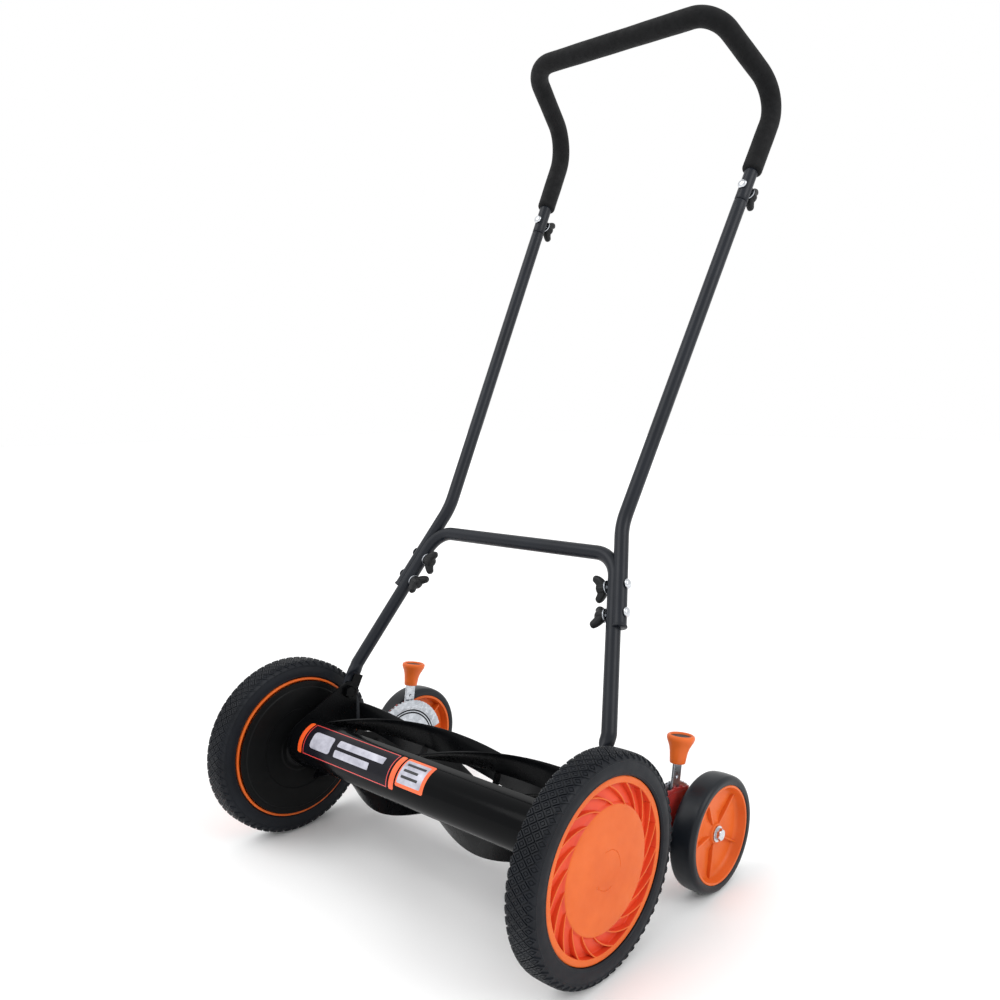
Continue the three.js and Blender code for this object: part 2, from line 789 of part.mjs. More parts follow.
function trackingHub() {
  const inner = TRACK.outer - TRACK.width + 0.6;
  const outer = TRACK.outer - 1.2;
  const lip = TRACK.rim - 4;
  const sides = 24;
  const bore = clear(BOLT.tracking, sides);
  const body = turned(
    [
      [inner, lip],
      [inner, TRACK.rim],
      [outer, TRACK.rim],
      [outer, lip + 1],
      [HUB.web + 6, lip - 3],
      [HUB.web + 4, HUB.boss + 2],
      [HUB.outer, HUB.boss],
      [HUB.outer, bore],
      [HUB.inner, bore],
      [HUB.inner, HUB.boss],
      [HUB.web, HUB.boss + 2],
      [HUB.web, lip - 3],
      [inner, lip],
    ],
    TRACK.y,
    TRACK.radius,
    sides,
  );
  const ribs = [];
  for (let i = 0; i < HUB.ribs; i += 1) {
    const angle = (2 * Math.PI * i) / HUB.ribs + HUB.ribFrom;
    const rib = new THREE.BoxGeometry(22, lip - HUB.boss, 3);
    rib.translate(HUB.web, (lip + HUB.boss) / 2, 0);
    rib.rotateX(angle);
    rib.translate(0, TRACK.y, TRACK.radius);
    ribs.push(rib);
  }
  return combine(body, ribs);
}

addPair('lever_arm', leverArm(), zinc);
addPair('lever_knob', leverKnob(), orange);
addPair('tracking_axle_bolt', trackingAxle(), zinc);
addPair('tracking_hub', trackingHub(), orange);
addPair('tracking_tyre', tyreRing(TRACK, 28), rubber);

// ---------------------------------------------------------------- handle

const legX = (s) => HANDLE.footX + LEG.slope * (s - LEG.bend);
const backward = new THREE.Vector3(0, Math.cos(HANDLE.lean), -Math.sin(HANDLE.lean));
const upward = new THREE.Vector3(0, Math.sin(HANDLE.lean), Math.cos(HANDLE.lean));
// Direction square to a leg, in the plane of the handle, pointing outwards on the +X side.
const outward = new THREE.Vector3(1, 0, 0).addScaledVector(upward, -LEG.slope).normalize();

function lowerPath() {
  const cornerX = legX(LEG.corner);
  return new BentPath(
    [
      handlePoint(HANDLE.footX, LEG.start),
      handlePoint(HANDLE.footX, LEG.bend),
      handlePoint(cornerX, LEG.corner),
      handlePoint(-cornerX, LEG.corner),
      handlePoint(-HANDLE.footX, LEG.bend),
      handlePoint(-HANDLE.footX, LEG.start),
    ],
    [LEG.bendRadius, LEG.cornerRadius, LEG.cornerRadius, LEG.bendRadius],
  );
}

// A hole for a joint bolt, drawn through origin.
function crossHole(origin, direction, from, to) {
  const hole = rod(from, to, clear(BOLT.joint, 8), 0, 0, 8);
  return placed(hole, origin, direction, new THREE.Vector3(0, 1, 1));
}

function lowerHoles() {
  const holes = LOWER_BOLTS.map((s) => crossHole(handlePoint(legX(s), s), outward, -16, 30));
  return [...holes, ...holes.map(mirrored)];
}

// The flattened end of a leg, in front of which the tube keeps its round section.
function handleFoot() {
  const shape = new THREE.Shape();
  const top = LEG.start + 6;
  shape.absarc(0, 0, HANDLE.footHalf, Math.PI, 2 * Math.PI, false);
  shape.lineTo(HANDLE.footHalf, LEG.start - 4);
  shape.lineTo(TUBE - 1.5, top);
  shape.lineTo(-TUBE + 1.5, top);
  shape.lineTo(-HANDLE.footHalf, LEG.start - 4);
  shape.closePath();
  const foot = plate(shape, PLATE_OUTER + GAP, HANDLE.footThickness);
  foot.rotateX(-HANDLE.lean);
  foot.translate(0, HANDLE.y, HANDLE.z);
  return foot;
}

function lowerHandle() {
  const foot = handleFoot();
  const bore = rod(PLATE.inner, PLATE.inner + 18, clear(BOLT.handle), HANDLE.y, HANDLE.z);
  return combine(
    tubeAlong(lowerPath(), TUBE, TUBE_BORE, 6),
    [foot, mirrored(foot)],
    [bore, mirrored(bore), ...lowerHoles()],
  );
}

// Centre line of a middle tube's upper run, carried on into the upper handle.
const upperSlope = (MIDDLE.seamX - MIDDLE.bendX) / (MIDDLE.seam - MIDDLE.bend);
const upperRun = (s) => handlePoint(MIDDLE.bendX + (s - MIDDLE.bend) * upperSlope, s);
const BOLT_REACH = 16; // half the length of a bolt hole drawn through a tube

function middleTube() {
  const lowerX = (s) => legX(s) + MIDDLE.offset;
  const bend = upperRun(MIDDLE.bend);
  const from = (s) => handlePoint(lowerX(s), s);
  const top = MIDDLE.seam + MIDDLE.spigot;
  const body = new BentPath([from(MIDDLE.end), bend, upperRun(MIDDLE.seam - GAP)], [MIDDLE.bendRadius]);
  const spigot = new BentPath([upperRun(MIDDLE.seam - 20), upperRun(top)], []);
  const hollow = new BentPath([from(MIDDLE.hollowFrom), bend, upperRun(top + 1)], [MIDDLE.bendRadius]);
  const spigotWall = 1.2;
  const bolt = crossHole(upperRun(UPPER_BOLT), backward, -BOLT_REACH, BOLT_REACH);
  return combine(
    tubeAlong(body, TUBE),
    [tubeAlong(spigot, SPIGOT)],
    [tubeAlong(lowerPath(), clear(TUBE)), tubeAlong(hollow, SPIGOT - spigotWall), ...lowerHoles(), bolt],
  );
}

function loopPath(from) {
  const start = upperRun(from);
  const flip = (v) => new THREE.Vector3(-v.x, v.y, v.z);
  return new BentPath(
    [start, LOOP.knee, LOOP.top, flip(LOOP.top), flip(LOOP.knee), flip(start)],
    [LOOP.kneeRadius, LOOP.topRadius, LOOP.topRadius, LOOP.kneeRadius],
  );
}

function upperHandle() {
  const bolt = crossHole(upperRun(UPPER_BOLT), backward, -BOLT_REACH, BOLT_REACH);
  return combine(tubeAlong(loopPath(MIDDLE.seam), TUBE, clear(SPIGOT)), [], [bolt, mirrored(bolt)]);
}

// Bolt drawn along local X: domed head, then the shank.
function jointBolt(length) {
  return turned([
    [-4.2, 0],
    [-4.0, 3],
    [-2.6, 6],
    [-GAP, 6.8],
    [-GAP, BOLT.joint],
    [length, BOLT.joint],
    [length, 0],
  ]);
}

// Wing knob drawn along local X, its seat at x = 0, with a blind hole for the bolt.
function wingKnob(hole) {
  const hub = rod(0, 14, 7.5, 0, 0, 12);
  const wings = new THREE.Shape([
    new THREE.Vector2(4, -6),
    new THREE.Vector2(13, -17),
    new THREE.Vector2(20, -18),
    new THREE.Vector2(21, -11),
    new THREE.Vector2(14, -4),
    new THREE.Vector2(14, 4),
    new THREE.Vector2(21, 11),
    new THREE.Vector2(20, 18),
    new THREE.Vector2(13, 17),
    new THREE.Vector2(4, 6),
  ]);
  const blade = new THREE.ExtrudeGeometry(wings, { depth: 6, bevelEnabled: false });
  blade.translate(0, 0, -3);
  return combine(hub, [blade], [rod(-1, hole, clear(BOLT.joint, 8), 0, 0, 8)]);
}

addPiece('lower_handle', lowerHandle(), tubeBlack());
addPair('middle_tube', middleTube(), tubeBlack);
addPiece('upper_handle', upperHandle(), tubeBlack());
addPiece('foam_grip', tubeAlong(loopPath(FOAM_START), FOAM, clear(TUBE)), foam());

const LOWER_HEAD = MIDDLE.offset / Math.hypot(1, LEG.slope) + TUBE;
const KNOB_SEAT = TUBE + 0.8;
const KNOB_HOLE = 9;
const THREAD_END = KNOB_HOLE - 1;
const LOWER_TURNS = [0.5, -0.35]; // how far each lower wing knob is turned, in radians
LOWER_BOLTS.forEach((s, i) => {
  const centre = handlePoint(legX(s), s);
  const headSeat = centre.clone().addScaledVector(outward, LOWER_HEAD + GAP);
  const inward = outward.clone().negate();
  const bolt = placed(jointBolt(LOWER_HEAD + KNOB_SEAT + THREAD_END), headSeat, inward, backward);
  addPair(`lower_joint_bolt_${i + 1}`, bolt, zinc);
  const turnedUp = backward.clone().applyAxisAngle(inward, LOWER_TURNS[i]);
  const seat = centre.clone().addScaledVector(inward, KNOB_SEAT);
  const knob = placed(wingKnob(KNOB_HOLE), seat, inward, turnedUp);
  addPair(`lower_wing_knob_${i + 1}`, knob, plasticBlack);
});

const boltSeat = upperRun(UPPER_BOLT).addScaledVector(backward, -TUBE - GAP);
const upperBolt = placed(jointBolt(TUBE + KNOB_SEAT + THREAD_END), boltSeat, backward, upward);
addPair('upper_joint_bolt', upperBolt, zinc);
const knobSeat = upperRun(UPPER_BOLT).addScaledVector(backward, KNOB_SEAT);
const upperKnob = placed(wingKnob(KNOB_HOLE), knobSeat, backward, new THREE.Vector3(1, 0, 0));
addPair('upper_wing_knob', upperKnob, plasticBlack);

// ---------------------------------------------------------------- origin at the bottom centre

const box = new THREE.Box3().setFromObject(group);
for (const mesh of group.children) {
  mesh.geometry.translate(-(box.min.x + box.max.x) / 2, -(box.min.y + box.max.y) / 2, -box.min.z);
}

export default group;
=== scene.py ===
import json
from math import atan2, copysign, cos, degrees, hypot, pi, sin, sqrt, tan

import bmesh
import bpy
from mathutils import Matrix, Vector


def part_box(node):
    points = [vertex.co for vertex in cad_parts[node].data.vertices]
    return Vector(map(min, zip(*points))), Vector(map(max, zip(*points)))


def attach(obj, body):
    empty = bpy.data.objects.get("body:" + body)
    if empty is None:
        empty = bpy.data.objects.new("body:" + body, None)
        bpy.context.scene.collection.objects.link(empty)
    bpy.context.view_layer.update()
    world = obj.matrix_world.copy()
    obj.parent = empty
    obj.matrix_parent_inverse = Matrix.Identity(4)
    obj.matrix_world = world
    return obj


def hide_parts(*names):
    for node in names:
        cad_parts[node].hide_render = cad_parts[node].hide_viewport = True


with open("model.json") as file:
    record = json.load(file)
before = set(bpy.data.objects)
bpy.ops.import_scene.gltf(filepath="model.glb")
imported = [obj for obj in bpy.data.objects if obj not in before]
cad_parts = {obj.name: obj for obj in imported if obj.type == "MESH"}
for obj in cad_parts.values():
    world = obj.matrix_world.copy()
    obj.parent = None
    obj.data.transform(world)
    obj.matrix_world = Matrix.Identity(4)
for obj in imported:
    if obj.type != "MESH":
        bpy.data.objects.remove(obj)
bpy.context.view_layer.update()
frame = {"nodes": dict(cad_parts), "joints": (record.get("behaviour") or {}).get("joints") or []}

MM = 0.001
SIDES = (("left", 1), ("right", -1))
JOINT = {j["name"]: Vector(j["pos_m"]) / MM for j in frame["joints"]}
AXLE = JOINT["wheel_left_spin"]
REEL = JOINT["reel_spin"]
FOLD = JOINT["handle_fold"]
PIVOT = JOINT["height_lever_left"]
TRACK = JOINT["tracking_wheel_left_spin"]
DEG = pi / 180
SHAFT_HOLE, PIVOT_HOLE, FOLD_HOLE, TRACK_HOLE = 8.3, 6.3, 5.3, 5.3


def polar(centre, r, angle):
    """(y, z) at radius r and angle round a line parallel to X."""
    return centre.y + r * cos(angle), centre.z + r * sin(angle)


def box_mm(node):
    low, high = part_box(node)
    return low / MM, high / MM


# ------------------------------------------------------------------ materials


def nodes_of(name):
    material = bpy.data.materials.new(name)
    material.use_nodes = True
    tree = material.node_tree
    return material, tree, tree.nodes["Principled BSDF"]


def add(tree, kind, **values):
    node = tree.nodes.new(kind)
    for key, value in values.items():
        if isinstance(key, str) and key in node.inputs:
            node.inputs[key].default_value = value
        else:
            setattr(node, key, value)
    return node


def noise(tree, scale, detail=3.0, rough=0.55):
    coords = add(tree, "ShaderNodeTexCoord")
    texture = add(tree, "ShaderNodeTexNoise", Scale=scale, Detail=detail, Roughness=rough)
    tree.links.new(coords.outputs["Object"], texture.inputs["Vector"])
    return texture.outputs["Fac"]


def ramp(tree, source, stops):
    node = add(tree, "ShaderNodeValToRGB")
    elements = node.color_ramp.elements
    while len(elements) < len(stops):
        elements.new(0.5)
    for element, (place, color) in zip(elements, stops):
        element.position = place
        element.color = (*color, 1.0)
    tree.links.new(source, node.inputs["Fac"])
    return node.outputs["Color"]


def grey(value):
    return (value, value, value)


def bump(tree, layers):
    """layers: (height output, strength, distance in mm), fine detail last."""
    normal = None
    for height, strength, distance in layers:
        node = add(tree, "ShaderNodeBump", Strength=strength, Distance=distance * MM)
        tree.links.new(height, node.inputs["Height"])
        if normal is not None:
            tree.links.new(normal, node.inputs["Normal"])
        normal = node.outputs["Normal"]
    return normal


def surface(name, dark, light, rough, blotch=8.0, grain=900.0, grain_strength=0.25,
            grain_depth=0.08, wave=0.0, wave_scale=60.0, **sockets):
    """Colour drifts between two tones in soft blotches; roughness and a fine grain vary with it."""
    material, tree, shader = nodes_of(name)
    cloud = noise(tree, blotch, 4.0, 0.6)
    tint = ramp(tree, cloud, [(0.3, dark), (0.7, light)])
    tree.links.new(tint, shader.inputs["Base Color"])
    fine = noise(tree, grain, 2.0, 0.5)
    spread = ramp(tree, noise(tree, blotch * 5, 3.0, 0.6), [(0.25, grey(rough[0])), (0.75, grey(rough[1]))])
    tree.links.new(spread, shader.inputs["Roughness"])
    layers = []
    if wave:
        layers.append((noise(tree, wave_scale, 2.0, 0.5), wave, 0.4))
    layers.append((fine, grain_strength, grain_depth))
    tree.links.new(bump(tree, layers), shader.inputs["Normal"])
    for socket, value in sockets.items():
        shader.inputs[socket.replace("_", " ")].default_value = value
    return material


ORANGE = surface("orange_plastic_gloss", (0.60, 0.098, 0.010), (0.71, 0.138, 0.022), (0.34, 0.46),
                 blotch=14, grain=1400, grain_strength=0.15, wave=0.12, wave_scale=22,
                 Specular_IOR_Level=0.25, Subsurface_Weight=0.06,
                 Subsurface_Scale=0.003)
# Painted shade: a darker red-orange copy of the orange plastic for the wheel's pocket floor, pocket walls
# and rib sides, where shade falls.
ORANGE_PAINTED_SHADE = surface("orange_plastic_painted_pocket_shade", (0.62, 0.040, 0.010), (0.74, 0.075, 0.014), (0.42, 0.55),
                      blotch=14, grain=1400, grain_strength=0.15)
# Painted shade: the index plate is orange plastic, coloured dark red to stand for orange in shade.
INDEX_PLATE_PAINTED_SHADE = surface("index_plate_orange_painted_shade", (0.22, 0.012, 0.014), (0.36, 0.026, 0.020), (0.35, 0.5),
                   blotch=30, grain=1200, grain_strength=0.2)
RUBBER = surface("tyre_rubber_treaded", (0.0036, 0.0048, 0.0074), (0.0072, 0.0092, 0.0132), (0.40, 0.56),
                 blotch=18, grain=700, grain_strength=0.45, grain_depth=0.15, Specular_IOR_Level=0.20)
TRACK_RUBBER = surface("tracking_tyre_rubber", (0.0042, 0.0056, 0.0082), (0.0080, 0.0105, 0.0145),
                       (0.32, 0.42), blotch=16, grain=1000, grain_strength=0.22,
                       Specular_IOR_Level=0.24)
TUBE = surface("tube_powder_coat", (0.0058, 0.0074, 0.0112), (0.0095, 0.0120, 0.0175), (0.32, 0.42),
               blotch=10, grain=1500, grain_strength=0.30, grain_depth=0.05, wave=0.10,
               wave_scale=240, Specular_IOR_Level=0.24)
SHELL = surface("shield_gloss_enamel", (0.0014, 0.0016, 0.0020), (0.0026, 0.0029, 0.0034), (0.10, 0.17),
                blotch=8, grain=300, grain_strength=0.05, grain_depth=0.03, wave=0.08, wave_scale=70,
                Specular_IOR_Level=0.07)
STEEL_BLACK = surface("frame_black_enamel", (0.0018, 0.0020, 0.0024), (0.0036, 0.0039, 0.0045),
                      (0.22, 0.34), blotch=12, grain=800, grain_strength=0.15, wave=0.08,
                      wave_scale=90, Specular_IOR_Level=0.08)
BLADE = surface("reel_black_enamel", (0.0020, 0.0022, 0.0027), (0.0042, 0.0046, 0.0054), (0.20, 0.36),
                blotch=9, grain=500, grain_strength=0.2, wave=0.1, wave_scale=60,
                Specular_IOR_Level=0.11)
COVER = surface("dust_cover_black", (0.0030, 0.0032, 0.0034), (0.0052, 0.0055, 0.0058), (0.30, 0.42),
                blotch=10, grain=1100, grain_strength=0.22, Specular_IOR_Level=0.10)
PLASTIC = surface("wing_knob_plastic", (0.0075, 0.0080, 0.0088), (0.0125, 0.0132, 0.0145), (0.36, 0.50),
                  blotch=40, grain=1600, grain_strength=0.35, Specular_IOR_Level=0.20)
RECESS = surface("knob_recess_dark", (0.020, 0.010, 0.006), (0.040, 0.020, 0.012), (0.5, 0.65),
                 blotch=60, grain=1200)
DECAL = surface("decal_panel_black", (0.0050, 0.0050, 0.0080), (0.0085, 0.0080, 0.0130), (0.16, 0.24),
                blotch=30, grain=900, grain_strength=0.08, Specular_IOR_Level=0.14)
DECAL_EDGE = surface("decal_border_red", (0.66, 0.035, 0.040), (0.80, 0.070, 0.055), (0.25, 0.35),
                     blotch=40, grain=900, grain_strength=0.08, Coat_Weight=0.4)
DECAL_ORANGE = surface("decal_strip_orange", (0.80, 0.085, 0.012), (0.92, 0.140, 0.018), (0.25, 0.35),
                       blotch=40, grain=900, grain_strength=0.08, Coat_Weight=0.4)
SILVER_INK = surface("decal_silver", (0.30, 0.30, 0.36), (0.60, 0.60, 0.68), (0.28, 0.40), blotch=55,
                     grain=900, grain_strength=0.08, Metallic=0.25)
DARK_INK = surface("decal_dark_bars", (0.010, 0.010, 0.012), (0.020, 0.020, 0.024), (0.3, 0.4),
                   blotch=40, grain=900, grain_strength=0.08)


def plated(name, dark, light, rough, spangle=160.0):
    """Zinc or steel: crystalline patches, fine drawn lines and roughness that follows both."""
    material, tree, shader = nodes_of(name)
    shader.inputs["Metallic"].default_value = 1.0
    coords = add(tree, "ShaderNodeTexCoord")
    crystals = add(tree, "ShaderNodeTexVoronoi", Scale=spangle)
    tree.links.new(coords.outputs["Object"], crystals.inputs["Vector"])
    cells = add(tree, "ShaderNodeSeparateColor")
    tree.links.new(crystals.outputs["Color"], cells.inputs["Color"])
    stretch = add(tree, "ShaderNodeMapping")
    stretch.inputs["Scale"].default_value = (1.0, 1.0, 14.0)
    tree.links.new(coords.outputs["Object"], stretch.inputs["Vector"])
    lines = add(tree, "ShaderNodeTexNoise", Scale=120.0, Detail=4.0)
    tree.links.new(stretch.outputs["Vector"], lines.inputs["Vector"])
    mix = add(tree, "ShaderNodeMath", operation="MULTIPLY_ADD")
    tree.links.new(cells.outputs[0], mix.inputs[0])
    mix.inputs[1].default_value = 0.35
    tree.links.new(lines.outputs["Fac"], mix.inputs[2])
    tree.links.new(ramp(tree, mix.outputs[0], [(0.3, dark), (0.95, light)]), shader.inputs["Base Color"])
    tree.links.new(ramp(tree, mix.outputs[0], [(0.3, grey(rough[1])), (0.95, grey(rough[0]))]),
                   shader.inputs["Roughness"])
    tree.links.new(bump(tree, [(lines.outputs["Fac"], 0.18, 0.05)]), shader.inputs["Normal"])
    return material


ZINC = plated("zinc_plate", (0.32, 0.34, 0.37), (0.60, 0.63, 0.67), (0.24, 0.42))
# Painted shade: a near-black copy of the zinc for the quadrant's grooves, where shade falls.
ZINC_PAINTED_GROOVE_SHADE = plated("zinc_groove_painted_shade", (0.010, 0.011, 0.012), (0.025, 0.026, 0.028), (0.4, 0.6))
BOLT = plated("bolt_bright", (0.45, 0.47, 0.50), (0.74, 0.76, 0.79), (0.16, 0.28), spangle=400)
STEEL = plated("bare_steel_drawn", (0.28, 0.29, 0.31), (0.48, 0.49, 0.51), (0.28, 0.45), spangle=260)


def foam_material():
    """Closed-cell foam: fine pores over soft lumps, with a dusty sheen."""
    material, tree, shader = nodes_of("grip_foam_black")
    coords = add(tree, "ShaderNodeTexCoord")
    pores = add(tree, "ShaderNodeTexVoronoi", Scale=1300.0)
    tree.links.new(coords.outputs["Object"], pores.inputs["Vector"])
    lumps = noise(tree, 45, 5.0, 0.7)
    tone = ramp(tree, lumps, [(0.3, (0.0030, 0.0032, 0.0036)), (0.72, (0.0066, 0.0069, 0.0078))])
    tree.links.new(tone, shader.inputs["Base Color"])
    spread = ramp(tree, noise(tree, 120, 3.0, 0.6), [(0.3, grey(0.62)), (0.7, grey(0.82))])
    tree.links.new(spread, shader.inputs["Roughness"])
    normal = bump(tree, [(noise(tree, 90, 3.0, 0.6), 0.25, 0.5), (pores.outputs["Distance"], 0.55, 0.18)])
    tree.links.new(normal, shader.inputs["Normal"])
    shader.inputs["Sheen Weight"].default_value = 0.03
    shader.inputs["Sheen Roughness"].default_value = 0.5
    shader.inputs["Specular IOR Level"].default_value = 0.16
    return material


FOAM = foam_material()

# ------------------------------------------------------------------ mesh tools


class Build:
    """Collects closed shells, in millimetres, into one mesh object."""

    def __init__(self):
        self.verts = []
        self.faces = []
        self.slots = []

    def add(self, shell, slot=0, place=None):
        verts, faces = shell
        base = len(self.verts)
        for v in verts:
            v = Vector(v)
            self.verts.append(place @ v if place is not None else v)
        self.faces.extend([tuple(base + i for i in face) for face in faces])
        per_face = slot if isinstance(slot, list) else [slot] * len(faces)
        self.slots.extend(per_face)
        return self

    def copy(self, move, flip=False):
        """The same shells with move(v) for each vertex; flip turns the faces over."""
        other = Build()
        other.verts = [move(v) for v in self.verts]
        other.faces = [tuple(reversed(face)) if flip else face for face in self.faces]
        other.slots = list(self.slots)
        return other

    def mirror(self):
        """On the other side of X = 0."""
        return self.copy(lambda v: Vector((-v.x, v.y, v.z)), flip=True)

    def turned_about(self, centre):
        """Turned half round about the vertical line through X = 0 and centre's Y."""
        return self.copy(lambda v: Vector((-v.x, 2 * centre.y - v.y, v.z)))

    def finish(self, name, body, slot, materials, nodes=(), sharp=32.0, bevel=0.0, segments=2):
        mesh = bpy.data.meshes.new(name)
        mesh.from_pydata([v * MM for v in self.verts], [], self.faces)
        mesh.polygons.foreach_set("material_index", self.slots)
        work = bmesh.new()
        work.from_mesh(mesh)
        bmesh.ops.remove_doubles(work, verts=work.verts, dist=1e-7)
        bmesh.ops.recalc_face_normals(work, faces=work.faces)
        work.to_mesh(mesh)
        work.free()
        for material in materials:
            mesh.materials.append(material)
        mesh.polygons.foreach_set("use_smooth", [True] * len(mesh.polygons))
        mesh.set_sharp_from_angle(angle=sharp * DEG)
        mesh.update()
        obj = bpy.data.objects.new(name, mesh)
        bpy.context.scene.collection.objects.link(obj)
        if bevel:
            modifier = obj.modifiers.new("edges", "BEVEL")
            modifier.width = bevel * MM
            modifier.segments = segments
            modifier.limit_method = "ANGLE"
            modifier.angle_limit = 30 * DEG
            modifier.harden_normals = True
        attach(obj, body)
        if nodes:
            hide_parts(*nodes)
        return obj


def fillet(points, steps=4):
    """points: (a, b) or (a, b, radius); rounds the corners that give a radius."""
    result = []
    last = len(points) - 1
    for i, point in enumerate(points):
        if len(point) < 3 or i in (0, last) or point[2] <= 0:
            result.append((point[0], point[1]))
            continue
        here = Vector(point[:2])
        back = Vector(points[i - 1][:2]) - here
        ahead = Vector(points[i + 1][:2]) - here
        reach = min(point[2], back.length * 0.49, ahead.length * 0.49)
        start = here + back.normalized() * reach
        end = here + ahead.normalized() * reach
        for k in range(steps + 1):
            t = k / steps
            p = start * (1 - t) ** 2 + here * 2 * t * (1 - t) + end * t * t
            result.append((p.x, p.y))
    return result


def revolve(profile, centre, segments=96, start=0.0, sweep=360.0, warp=None):
    """Turns (x, r) points about the line parallel to X through centre. warp(x, r, angle) gives a new x."""
    closed = abs(sweep - 360.0) < 1e-6
    steps = segments if closed else segments + 1
    verts = []
    rings = []
    for x, r in profile:
        ring = []
        if r < 1e-6:
            verts.append((x, centre.y, centre.z))
            ring = [len(verts) - 1] * steps
        else:
            for i in range(steps):
                angle = (start + sweep * i / segments) * DEG
                shifted = warp(x, r, angle) if warp else x
                verts.append((shifted, *polar(centre, r, angle)))
                ring.append(len(verts) - 1)
        rings.append(ring)
    faces = []
    for a, b in zip(rings, rings[1:]):
        for i in range(segments):
            j = (i + 1) % steps
            corner = [a[i], a[j], b[j], b[i]]
            unique = list(dict.fromkeys(corner))
            if len(unique) > 2:
                faces.append(tuple(unique))
    if not closed:
        for end in (0, steps - 1):
            faces.append(tuple(dict.fromkeys(ring[end] for ring in rings)))
    return verts, faces


def loop(profile):
    """A profile that closes on itself."""
    return list(profile) + [profile[0]]


def plate(outline, x0, x1, holes=()):
    """A flat plate: outline and holes are lists of (y, z)."""
    work = bmesh.new()
    edges = []
    for ring in [outline, *holes]:
        row = [work.verts.new((x0, y, z)) for y, z in ring]
        edges += [work.edges.new((row[i], row[(i + 1) % len(row)])) for i in range(len(row))]
    if holes:
        filled = bmesh.ops.triangle_fill(work, use_beauty=True, edges=edges)
        faces = [g for g in filled["geom"] if isinstance(g, bmesh.types.BMFace)]
    else:
        faces = [work.faces.new(list(work.verts))]
    extruded = bmesh.ops.extrude_face_region(work, geom=faces)
    moved = [g for g in extruded["geom"] if isinstance(g, bmesh.types.BMVert)]
    bmesh.ops.translate(work, verts=moved, vec=(x1 - x0, 0, 0))
    bmesh.ops.recalc_face_normals(work, faces=work.faces)
    work.verts.index_update()
    verts = [tuple(v.co) for v in work.verts]
    result = [tuple(v.index for v in f.verts) for f in work.faces]
    work.free()
    return verts, result


def circle(y, z, radius, count=32):
    return [(y + radius * cos(2 * pi * i / count),
             z + radius * sin(2 * pi * i / count)) for i in range(count)]


def hull(circles, count=72):
    """Convex outline round (y, z, radius) circles."""
    points = sorted(p for y, z, r in circles for p in circle(y, z, r, count))

    def half(items):
        chain = []
        for p in items:
            while len(chain) > 1:
                (ax, ay), (bx, by) = chain[-2], chain[-1]
                if (bx - ax) * (p[1] - ay) - (by - ay) * (p[0] - ax) > 1e-9:
                    break
                chain.pop()
            chain.append(p)
        return chain[:-1]

    return half(points) + half(points[::-1])


def skin(rings, count):
    """Faces over rings of count points each, with both ends closed."""
    faces = []
    for i in range(rings - 1):
        for k in range(count):
            j = (k + 1) % count
            faces.append((i * count + k, i * count + j, (i + 1) * count + j, (i + 1) * count + k))
    faces.append(tuple(range(count))[::-1])
    faces.append(tuple(range((rings - 1) * count, rings * count)))
    return faces


def section(count, wide, deep, power):
    """Points (u, v) of an ellipse whose sides are flattened by power (1 is a true ellipse)."""
    for k in range(count):
        c, s = cos(2 * pi * k / count), sin(2 * pi * k / count)
        yield copysign(abs(c) ** power, c) * wide, copysign(abs(s) ** power, s) * deep


def frames(points):
    """Tangent, and two directions square to it that don't twist, at each point of a path."""
    tangents = []
    for i, p in enumerate(points):
        before = (p - points[i - 1]).normalized() if i > 0 else Vector()
        after = (points[i + 1] - p).normalized() if i < len(points) - 1 else Vector()
        tangents.append((before + after).normalized())
    side = tangents[0].cross(Vector((0, 0.3, 1))).normalized()
    result = []
    for i, t in enumerate(tangents):
        if i:
            side = tangents[i - 1].rotation_difference(t) @ side
        side = (side - t * side.dot(t)).normalized()
        result.append((t, side, t.cross(side)))
    return result


def sweep(points, size, count):
    """A tube along points. size(i) gives its half width along side and along up."""
    verts = []
    for i, (p, (_, side, up)) in enumerate(zip(points, frames(points))):
        verts += [p + side * u + up * v for u, v in section(count, *size(i), 1.0)]
    return verts, skin(len(points), count)


def bent(points, radii, steps=14, straight=12.0):
    """Straight runs joined by arcs; long runs get extra points so that detail can follow them."""
    route = [points[0].copy()]
    for i in range(1, len(points) - 1):
        back = (points[i - 1] - points[i]).normalized()
        ahead = (points[i + 1] - points[i]).normalized()
        half = back.angle(ahead) / 2
        reach = radii[i - 1] / tan(half)
        centre = points[i] + (back + ahead).normalized() * radii[i - 1] / sin(half)
        start = points[i] + back * reach - centre
        end = points[i] + ahead * reach - centre
        turn = start.rotation_difference(end)
        axis, angle = turn.to_axis_angle()
        for k in range(steps + 1):
            route.append(centre + Matrix.Rotation(angle * k / steps, 3, axis) @ start)
    route.append(points[-1].copy())
    fine = [route[0]]
    for p in route[1:]:
        gap = (p - fine[-1]).length
        pieces = max(1, round(gap / straight))
        start = fine[-1]
        fine += [start.lerp(p, (k + 1) / pieces) for k in range(pieces)]
    return fine


def lengths(points):
    total = [0.0]
    for a, b in zip(points, points[1:]):
        total.append(total[-1] + (b - a).length)
    return total


def basis(origin, direction, up):
    """Local X runs along direction from origin."""
    x = direction.normalized()
    y = up.cross(x).normalized()
    z = x.cross(y)
    m = Matrix((x, y, z)).transposed().to_4x4()
    m.translation = origin
    return m


ORIGIN = Vector((0, 0, 0))


def smooth(t):
    t = min(1.0, max(0.0, t))
    return t * t * (3 - 2 * t)


def both(build, name, body, slot, materials, turned=None, **more):
    """The piece on the +X side and its fellow on the -X side."""
    for side, sign in SIDES:
        part = build
        if sign < 0:
            part = build.turned_about(turned) if turned is not None else build.mirror()
        settings = dict(more)
        settings["nodes"] = tuple(f"{n}_{side}" for n in more.get("nodes", ()))
        part.finish(f"{name}_{side}", body.format(side=side), slot, materials, **settings)


# ------------------------------------------------------------------ main wheels

